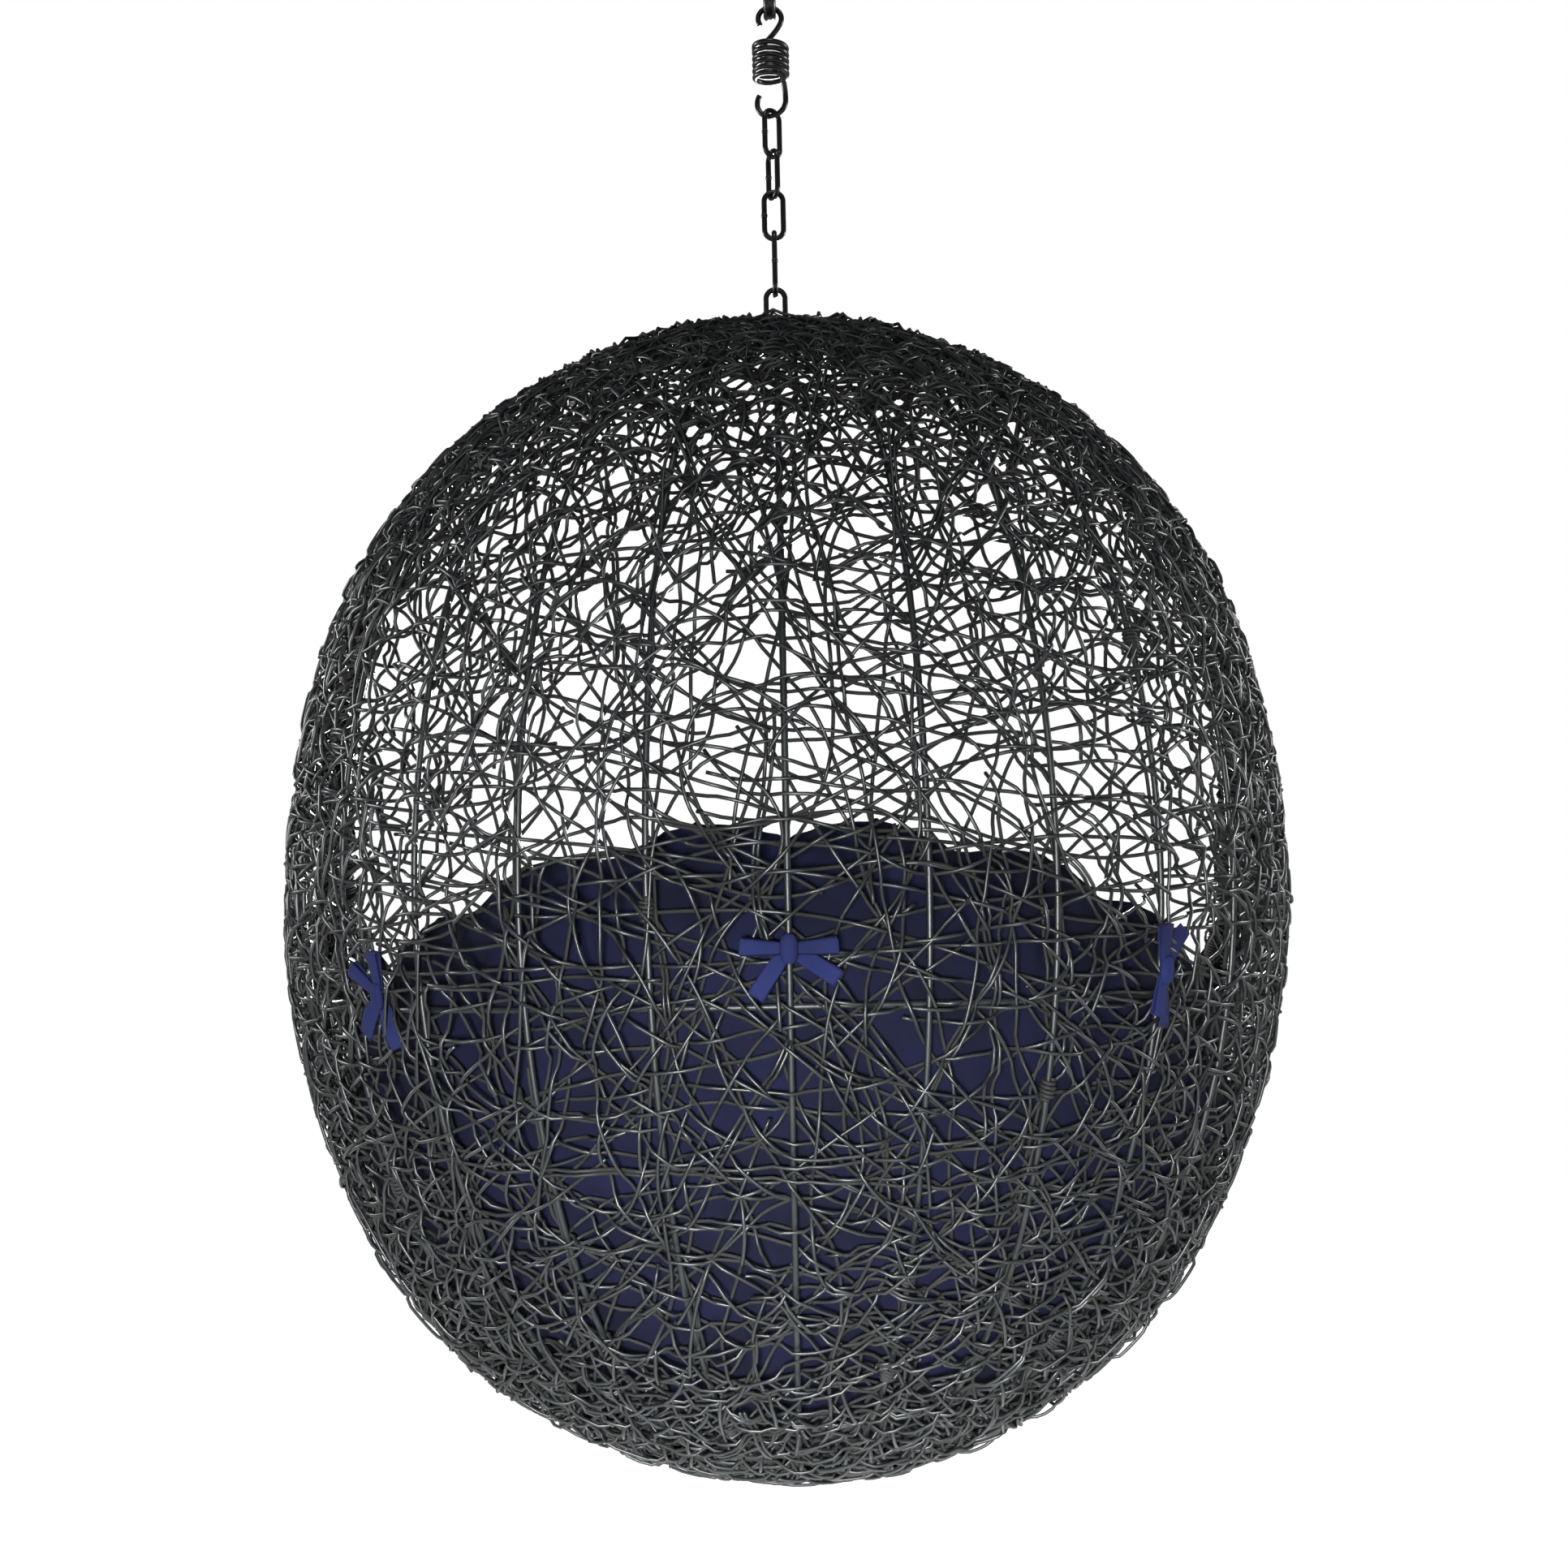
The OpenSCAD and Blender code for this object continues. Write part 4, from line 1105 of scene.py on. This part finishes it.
@dataclass
class Spring:
    """The coil spring and its two hooks, one wire in three lengths.

    Args:
        wire_d: thickness of the wire.
        coil_od: outside diameter of the coil.
        coil_h: height between its first and last turns.
        turns: in the coil.
        coil_top: height of its first turn.
        gap: between the coil's wire and a hook's.
        hook_turn: angle of a hook's arc.
        lead: straight start of a hook.
        pull: how far a hook's curve is drawn towards its arc.
    """

    wire_d: float = 5.6 * MM
    coil_od: float = 39 * MM
    coil_h: float = 36 * MM
    turns: float = 5.25
    coil_top: float = -81.5 * MM
    gap: float = 0.02 * MM
    hook_turn: float = math.radians(215)
    lead: float = 2 * MM
    pull: float = 12 * MM

    def coil_at(self, share: Array | float) -> Array:
        """Points of the coil: r (cos a, sin a), falling evenly, for shares from 0 to 1."""
        a, r = 2 * np.pi * self.turns * share, (self.coil_od - self.wire_d) / 2
        return np.stack([r * np.cos(a), r * np.sin(a), self.coil_top - self.coil_h * share], -1)

    def end(self, share: int) -> tuple[Array, Array]:
        """The end of the coil's wire at share 0 or 1, a little past the coil, and the way it points."""
        way = (2 * share - 1) * unit(self.coil_at(share + 1e-5) - self.coil_at(share - 1e-5))
        return self.coil_at(share) + self.wire_d * way, way

    def hook(self, hook: Hook) -> Array:
        """A hook's centre line: a cubic curve from the coil's end to its arc, then the arc."""
        _, _, share, centre_z, outside_d, turn, pull = hook.value
        end, way = self.end(share)
        start, side, centre = end + self.gap * way, (1 - 2 * share) * UP, centre_z * UP
        r = (outside_d - self.wire_d) / 2
        flat = np.array([math.cos(turn), math.sin(turn), 0])
        a, d = start + self.lead * way, centre - r * flat
        b, c = a + pull * way, d - self.pull * side
        t = np.linspace(0, 1, 18)[:-1, None]
        curve = (1 - t) ** 3 * a + 3 * (1 - t) ** 2 * t * b + 3 * (1 - t) * t * t * c + t ** 3 * d
        w = np.linspace(0, self.hook_turn, 34)[:, None]
        return np.concatenate([start[None], curve, centre - r * np.cos(w) * flat + r * np.sin(w) * side])

    @staticmethod
    def carried(path: Array) -> Array:
        """Directions across a path that turn with it and don't twist."""
        along = unit(np.gradient(path, axis=0))
        out = [unit(np.cross(along[0], np.array([0.3, 0.2, 1.0])))]
        for ahead in along[1:]:
            out.append(unit(out[-1] - ahead * (out[-1] @ ahead)))
        return np.array(out)

    def wire(self, name: str, path: Array, material: Material) -> bpy.types.Object:
        """A length of the wire, round its centre line."""
        line = Strands.alike(path[None], self.carried(path)[None], 0.5)
        piece = line.swept(self.wire_d / 2, 20).to_object(f"{name}_wire", material)
        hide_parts(name)
        return piece

    def build(self, material: Material) -> None:
        """Makes the coil and both hooks."""
        lead, tail = [self.end(share)[0][None] for share in (0, 1)]
        coil = np.concatenate([lead, self.coil_at(np.linspace(0, 1, 190)), tail])
        piece = self.wire("spring_coil", coil, material)
        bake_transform(piece)
        for hook in Hook:
            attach(self.wire(hook.value[0], self.hook(hook), material), hook.value[1])
        log.info("spring: coil and two hooks")


# ---------------------------------------------------------------- cushion and ties


@dataclass
class Cushion:
    """The round tufted pad laid in the basket's bowl.

    Args:
        basket: what it lies in.
        thickness: at its crown.
        back_l: from the base up the back, along the wall.
        front_l: from the base to the front.
        lobes: round its edge.
        scallop: depth of the scallops between lobes.
        channel: depth of the sewn channels.
        tuft: depth of the tufts.
        inside: gap between the ribs' middles and its back.
        voxel: size of the faces that the cover is simulated with.
        pressure: of the filling.
        most: how far a point of the cover may move.
        hold: distance from a sewn point within which the cover is held.
        frames: of the simulation.
    """

    basket: Basket
    thickness: float = 112 * MM
    back_l: float = 905 * MM
    front_l: float = 318 * MM
    lobes: int = 18
    scallop: float = 20 * MM
    channel: float = 22 * MM
    tuft: float = 34 * MM
    inside: float = 11.6 * MM
    voxel: float = 7 * MM
    pressure: float = 4.0
    most: float = 20 * MM
    hold: float = 9 * MM
    frames: int = 20

    def lobe(self, a: Array) -> Array:
        """How far out the edge's scallops stand at angles from the back, from 0 to 1."""
        return np.abs(np.sin(a * self.lobes / 2))

    def reach(self, a: Array) -> Array:
        """Length from the base to the edge at an angle from the back.

        It falls from the back to the front with ((1 + cos a) / 2) ^ 0.9, less the scallop between lobes.
        """
        return (self.front_l + (self.back_l - self.front_l) * ((1 + np.cos(a)) / 2) ** 0.9
                - self.scallop * (1 - self.lobe(a)))

    def surface(self, u: Array, a: Array, face: float) -> Array:
        """Points of the pad: u of the way from the base to the edge, on the back (face 0) or front (1).

        Its thickness is the crown's times sqrt(1 - u^5), less channels between lobes and tufts, which
        are humps about their rings.
        """
        crowned = np.sqrt(np.maximum(0, 1 - u ** 5))
        tufting = self.tuft * (hump(u - 0.3, 0.11) * np.cos(a * self.lobes / 6) ** 8
                               + hump(u - 0.62, 0.11) * np.cos(a * self.lobes / 2) ** 8)
        thick = crowned * (self.thickness - tufting
                           - self.channel * (1 - self.lobe(a)) * np.maximum(0, u - 0.5) / 0.5)
        back = self.inside + 0.4 * self.thickness * (1 - crowned)
        return self.basket.on_wall(u * self.reach(a), a, -back - face * thick)

    def sewn(self) -> Array:
        """Where the cover is sewn down: the tufts on the front, and the seam round the edge."""
        rings = [(share, 2 * np.pi * np.arange(n) / n)
                 for share, n in ((0.3, self.lobes // 3), (0.62, self.lobes), (1.0, 20 * self.lobes))]
        return self.basket.hung(np.concatenate([self.surface(np.full(len(a), u), a, 1.0) for u, a in rings]))

    @staticmethod
    def places(mesh: bpy.types.Mesh) -> Array:
        """A mesh's points, a row for each."""
        flat = np.zeros(len(mesh.vertices) * 3, np.float32)
        mesh.vertices.foreach_get("co", flat)
        return flat.reshape(-1, 3).astype(float)

    def stuffed(self, piece: bpy.types.Object) -> None:
        """Swells the pad by cloth simulation, held where it is sewn, and smooths it.

        The cover is cut a little larger than the pad, so that it wrinkles. No point moves further than
        `most`, and the back stays inside the ribs.

        Args:
            piece: the pad, which gets a new mesh.
        """
        scene, graph = bpy.context.scene, bpy.context.evaluated_depsgraph_get
        remesh = piece.modifiers.new("remesh", "REMESH")
        remesh.mode, remesh.voxel_size = "VOXEL", self.voxel
        material = piece.data.materials[0]
        mesh = bpy.data.meshes.new_from_object(piece.evaluated_get(graph()))
        piece.data = mesh
        piece.modifiers.clear()
        mesh.materials.clear()
        mesh.materials.append(material)
        start = self.places(mesh)
        near = np.min([np.linalg.norm(start - point, axis=1) for point in self.sewn()], axis=0)
        pinned = piece.vertex_groups.new(name="sewn")
        pinned.add([int(i) for i in np.flatnonzero(near < self.hold)], 1.0, "REPLACE")
        cloth = piece.modifiers.new("cover", "CLOTH")
        settings = {"quality": 4, "mass": 0.3, "tension_stiffness": 12, "compression_stiffness": 12,
                    "shear_stiffness": 5, "bending_stiffness": 0.4, "shrink_min": -0.05, "use_pressure": True,
                    "uniform_pressure_force": self.pressure, "vertex_group_mass": pinned.name}
        for key, value in settings.items():
            setattr(cloth.settings, key, value)
        cloth.settings.effector_weights.gravity = 0
        cloth.collision_settings.use_collision = False
        cloth.collision_settings.use_self_collision = False
        cloth.point_cache.frame_start, cloth.point_cache.frame_end = 1, self.frames
        for number in range(1, self.frames + 1):
            scene.frame_set(number)
        move = self.places(piece.evaluated_get(graph()).data) - start
        size = np.linalg.norm(move, axis=1, keepdims=True)
        move *= np.minimum(1, self.most / np.maximum(size, 1e-9))
        piece.modifiers.clear()
        scene.frame_set(1)
        end = self.basket.unhung(start + move)
        foot, normal = self.basket.foot(end)
        depth = dot(end - foot, normal)
        end = self.basket.hung(foot + np.minimum(depth, -self.inside) * normal)
        mesh.vertices.foreach_set("co", end.astype(np.float32).ravel())
        mesh.polygons.foreach_set("use_smooth", np.ones(len(mesh.polygons), bool))
        mesh.update()
        smoother = piece.modifiers.new("smooth", "SUBSURF")
        smoother.levels = smoother.render_levels = 1
        log.info("cushion cover: %d points, moved %.1f mm at most", len(start), float(size.max()) / MM)

    def build(self, material: Material) -> None:
        """Makes the pad as one closed surface, from the base up its back and down its front."""
        n, m = 16 * self.lobes, 44
        a = 2 * np.pi * np.arange(n) / n
        share = np.linspace(0, 1, m + 1)
        rows = [(u, 0.0) for u in share[1:]] + [(u, 1.0) for u in share[-2:0:-1]]
        grid = np.stack([self.surface(np.full(n, u), a, face) for u, face in rows])
        tips = np.stack([self.surface(np.array([0.0]), np.array([0.0]), face)[0] for face in (0.0, 1.0)])
        v = np.array([u if face == 0 else 2 - u for u, face in rows])
        shape = Shape.tubes(grid, tips, np.array([0]), np.array([len(rows) - 1]),
                            lambda i, j: np.stack([j / n * 3.0, v[i] * 0.8], -1), flip=True)
        shape.points = self.basket.hung(shape.points)
        piece = shape.to_object("seat_cushion", material)
        self.stuffed(piece)
        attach(piece, "basket")
        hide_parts("cushion")
        log.info("cushion: %d points", len(shape.points))


class Tie(Enum):
    """The five ties: azimuth from the back towards +X in degrees, drop, and ribbon directions.

    Loops and tails are angles above level on the side of +X, in degrees, seen from outside.
    """

    BACK = ("tie_back", 0, 57, (4, 176), (208, -52))
    LEFT = ("tie_left", 47, 92, (40, 95), (-45, -112))
    RIGHT = ("tie_right", -41, 82, (80, -75), (-95, 120))
    SIDE_RIGHT = ("tie_side_right", -100, 235, (10, 170), (-60, -130))
    SIDE_LEFT = ("tie_side_left", 100, 235, (10, 170), (-60, -130))


@dataclass
class Ribbons:
    """Bows of flat ribbon on the outside of the wicker.

    Args:
        basket: what they are tied to.
        width: of the ribbon.
        thickness: of the ribbon.
        loop_l: length of a loop.
        tail_l: length of a tail.
        off: how far outside the ribs' middles a bow lies.
    """

    basket: Basket
    width: float = 16 * MM
    thickness: float = 1.2 * MM
    loop_l: float = 40 * MM
    tail_l: float = 46 * MM
    off: float = 7.6 * MM

    def strip(self, path: Array, across: Array, width: Array) -> Shape:
        """A flat ribbon along a path, closed all round.

        Its section is a flat loop of eight points: half the width across, half the thickness off.

        Args:
            path: its middle.
            across: direction of its width at each point.
            width: at each point.

        Returns:
            The ribbon, with UVs in metres.
        """
        along = unit(np.gradient(path, axis=0))
        across = unit(across - dot(across, along) * along)
        off = np.cross(across, along)
        x = np.array([-1, -0.6, 0, 0.6, 1, 0.6, 0, -0.6])
        y = np.array([0, 1, 1, 1, 0, -1, -1, -1])
        bow = -0.9 * MM * (1 - x * x)
        points = (path[:, None] + (width / 2)[:, None, None] * x[None, :, None] * across[:, None]
                  + (self.thickness / 2 * y + bow)[None, :, None] * off[:, None])
        k, last = len(x), len(path) - 1
        side, run = x * self.width / 2, run_along(path)
        quads, quad_uv = band(np.arange(last), k, lambda i, j: np.stack([side[j % k], run[i]], -1))
        cap = np.array([[0, 1, 7], [1, 2, 6], [1, 6, 7], [2, 3, 5], [2, 5, 6], [3, 4, 5]])
        caps = np.concatenate([cap[:, [0, 2, 1]], cap + last * k])
        return Shape(points.reshape(-1, 3), quads, caps, quad_uv)

    def loop(self, angle: float) -> Shape:
        """A loop: out from the knot, round, and back over itself."""
        t = np.linspace(0, 1, 25)
        wave = np.sin(np.pi * t)
        x = self.loop_l * wave ** 0.8
        y = 2.2 * MM + 4.6 * MM * wave + np.where(t > 0.5, 1, -1) * 2.6 * MM * wave ** 0.6
        way = np.array([math.cos(angle), 0, math.sin(angle)])
        path = x[:, None] * way + y[:, None] * OUT
        across = np.cross(way, OUT) + np.zeros_like(path)
        return self.strip(path, across, self.width * (0.55 + 0.45 * wave ** 0.5))

    def tail(self, angle: float) -> Shape:
        """A tail: out of the knot and along the wicker, waving and drooping a little."""
        t = np.linspace(0, 1, 15)
        way = np.array([math.cos(angle), 0, math.sin(angle)])
        path = (self.tail_l * t[:, None] * way - (t ** 2)[:, None] * UP * 4 * MM
                + (2.0 * MM + 1.8 * MM * np.sin(5 * t + angle))[:, None] * OUT)
        across = np.cross(way, OUT) + 0.35 * np.sin(3 * t)[:, None] * OUT
        return self.strip(path, across, self.width * (0.5 + 0.5 * smooth(t, 0, 0.4)))

    def knot(self) -> Shape:
        """The knot: a rounded block, swelling in its middle, wrapped across the loops."""
        n, m = 20, 12
        a = 2 * np.pi * np.arange(n) / n
        t = np.linspace(0.04, 0.96, m) * np.pi
        r = np.sin(t)[:, None] ** 0.55 * (1 + 0.05 * np.cos(6 * a)[None, :])
        x = 7.5 * MM * r * np.cos(a)[None, :]
        y = 5.2 * MM + 5.0 * MM * r * np.sin(a)[None, :]
        z = (-12.5 * MM * np.cos(t))[:, None] + 0 * x
        tips = np.array([[0, 5.2 * MM, -12.6 * MM], [0, 5.2 * MM, 12.6 * MM]])
        return Shape.tubes(np.stack([x, y, z], -1), tips, np.array([0]), np.array([m - 1]),
                           lambda i, j: np.stack([j / n * 40 * MM, i / m * 30 * MM], -1))

    def build(self, material: Material) -> None:
        """Makes all five bows."""
        for tie in Tie:
            name, azimuth, drop, loops, tails = tie.value
            parts = [self.loop(math.radians(a)) for a in loops]
            parts += [self.tail(math.radians(a)) for a in tails]
            parts.append(self.knot())
            shift = np.cumsum([0] + [len(part.points) for part in parts])
            shape = Shape(self.placed(np.concatenate([part.points for part in parts]), azimuth, drop * MM),
                          np.concatenate([part.quads + s for part, s in zip(parts, shift)]),
                          np.concatenate([part.tris + s for part, s in zip(parts, shift)]),
                          np.concatenate([part.quad_uv.reshape(-1, 4, 2) for part in parts]))
            piece = shape.to_object(f"{name}_bow", material)
            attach(piece, "basket")
            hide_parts(name)
        log.info("ties: %d bows", len(Tie))

    def placed(self, p: Array, azimuth: float, drop: float) -> Array:
        """Points drawn with Y outwards and Z up, set on the wall at an azimuth and a drop."""
        r, z, slope = self.basket.meridian(np.array(self.basket.wall_length(drop)), self.off)
        q = turned(p, float(slope) - math.pi / 2, 1) + np.array([0, float(r), float(z)])
        return self.basket.hung(turned(q, -math.radians(azimuth), 0))


# ---------------------------------------------------------------- studio


@dataclass
class Studio:
    """Camera, pale floor and soft light.

    Args:
        distance: of the camera behind the hang point.
        lens_px: focal length in pixels.
        frame_px: width of the frame in pixels.
        sensor: width of the sensor in millimetres.
        height: of the camera.
        pitch: how far it looks up.
        yaw: how far it looks to its right.
        roll: how far it is turned about its own axis.
        floor_z: height of the floor.
        floor_half: half of the floor's side.
        bounce: light that the floor throws back up.
    """

    distance: float = 2.5
    lens_px: float = 3131.0
    frame_px: int = 1932
    sensor: float = 36.0
    height: float = -1.270
    pitch: float = 0.1613
    yaw: float = -0.0006
    roll: float = -0.0205
    floor_z: float = -1.86
    floor_half: float = 60.0
    bounce: float = 0.14

    def camera(self) -> None:
        """Makes the scene's camera."""
        data = bpy.data.cameras.new("camera")
        data.sensor_width = self.sensor
        data.lens = self.lens_px / self.frame_px * self.sensor
        data.clip_start, data.clip_end = 0.05, 200
        camera = bpy.data.objects.new("camera", data)
        camera.matrix_world = (Matrix.Translation((0, self.distance, self.height))
                               @ Matrix.Rotation(math.pi - self.yaw, 4, "Z")
                               @ Matrix.Rotation(math.pi / 2 + self.pitch, 4, "X")
                               @ Matrix.Rotation(self.roll, 4, "Z"))
        bpy.context.scene.collection.objects.link(camera)
        bpy.context.scene.camera = camera

    def floor(self) -> None:
        """A wide pale floor that meets the white surround without an edge."""
        corners = np.array([[-1, -1, 0], [1, -1, 0], [1, 1, 0], [-1, 1, 0]]) * self.floor_half
        pale = Surface("pale_floor", Base_Color=linear("#f4f4f2"), Roughness=0.9, Specular_IOR_Level=0.0,
                       Emission_Color=(1, 1, 1, 1))
        seen = add_node(pale.tree, "ShaderNodeLightPath").outputs["Is Camera Ray"]
        glow = add_node(pale.tree, "ShaderNodeMapRange", {0: seen, 3: self.bounce, 4: 1.0})
        pale.link(glow.outputs[0], "Emission Strength")
        shape = Shape(corners + self.floor_z * UP, np.array([[0, 1, 2, 3]]))
        shape.to_object("floor", pale.material)

    def light(self, name: str, place: tuple[float, float, float], size: float, power: float,
              aim_z: float = -0.96, spread: float = 180.0) -> None:
        """A square soft light behind a grid, aimed at a height on the basket's axis.

        Args:
            name: of the light.
            place: where it stands.
            size: of its side.
            power: in watts.
            aim_z: height that it is aimed at.
            spread: angle that its grid lets through, in degrees.
        """
        data = bpy.data.lights.new(name, "AREA")
        data.shape, data.size, data.energy = "SQUARE", size, power
        data.spread = math.radians(spread)
        lamp = bpy.data.objects.new(name, data)
        aim = Vector((0, 0.1, aim_z)) - Vector(place)
        lamp.matrix_world = Matrix.Translation(place) @ aim.to_track_quat("-Z", "Y").to_matrix().to_4x4()
        bpy.context.scene.collection.objects.link(lamp)

    def build(self) -> None:
        """Makes the whole studio."""
        scene = bpy.context.scene
        scene.view_settings.view_transform = "Standard"
        world = bpy.data.worlds.new("studio")
        tree = fresh_tree(world)
        seen = add_node(tree, "ShaderNodeBackground", {"Color": (1, 1, 1, 1), "Strength": 1.0})
        fill = add_node(tree, "ShaderNodeBackground", {"Color": (0.96, 0.98, 1, 1), "Strength": 0.08})
        path = add_node(tree, "ShaderNodeLightPath")
        mix = add_node(tree, "ShaderNodeMixShader", {0: path.outputs["Is Camera Ray"], 1: fill.outputs[0],
                                                     2: seen.outputs[0]})
        add_node(tree, "ShaderNodeOutputWorld", {0: mix.outputs[0]})
        scene.world = world
        self.camera()
        self.floor()
        self.light("low_front", (0.3, 3.4, -1.75), 0.7, 27, -1.62, 36)
        self.light("low_back", (-0.4, -3.3, -0.3), 0.8, 40, -1.15, 44)
        self.light("soft_left", (2.4, -0.5, -0.3), 0.6, 40)
        self.light("soft_right", (-2.4, -0.5, -0.3), 0.6, 40)
        self.light("soft_top", (0.0, 1.4, 1.6), 0.8, 14)
        log.info("studio: camera, floor and five lights")


# ---------------------------------------------------------------- the whole chair


def dress_frame(paint: Material, black: Material) -> None:
    """Gives the rods, the plate, the chain and the hanger their paint.

    Args:
        paint: of the basket's rods.
        black: of the chain, the eye and the hanger.
    """
    dark = ("hanger_link", "chain_link", "hanging_eye", "spring")
    for name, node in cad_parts.items():
        node.data.materials.clear()
        node.data.materials.append(black if name.startswith(dark) else paint)
    log.info("frame: %d nodes dressed", len(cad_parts))


def main() -> None:
    """Builds the studio and the chair, piece by piece."""
    logging.basicConfig(level=logging.INFO, format="%(message)s")
    Studio().build()
    rods = PaintedSteel("powder_coated_steel_rod", "#0c1011", "#171d1f").material()
    black = PaintedSteel("black_painted_steel", "#121313", "#1f2021", gloss=0.3).material()
    strand = ResinStrand().material()
    cloth = WovenCloth("navy_polyester_canvas", "#070917", "#0d1027", sheen=0.04, on_uv=False).material()
    ribbon = WovenCloth("navy_polyester_ribbon", "#111531", "#1a2048", thread=0.9 * MM, sheen=0.1).material()
    basket = Basket()
    dress_frame(rods, black)
    Spring().build(black)
    Wicker(basket).build(strand)
    Cushion(basket).build(cloth)
    Ribbons(basket).build(ribbon)


if __name__ == "__main__":
    main()
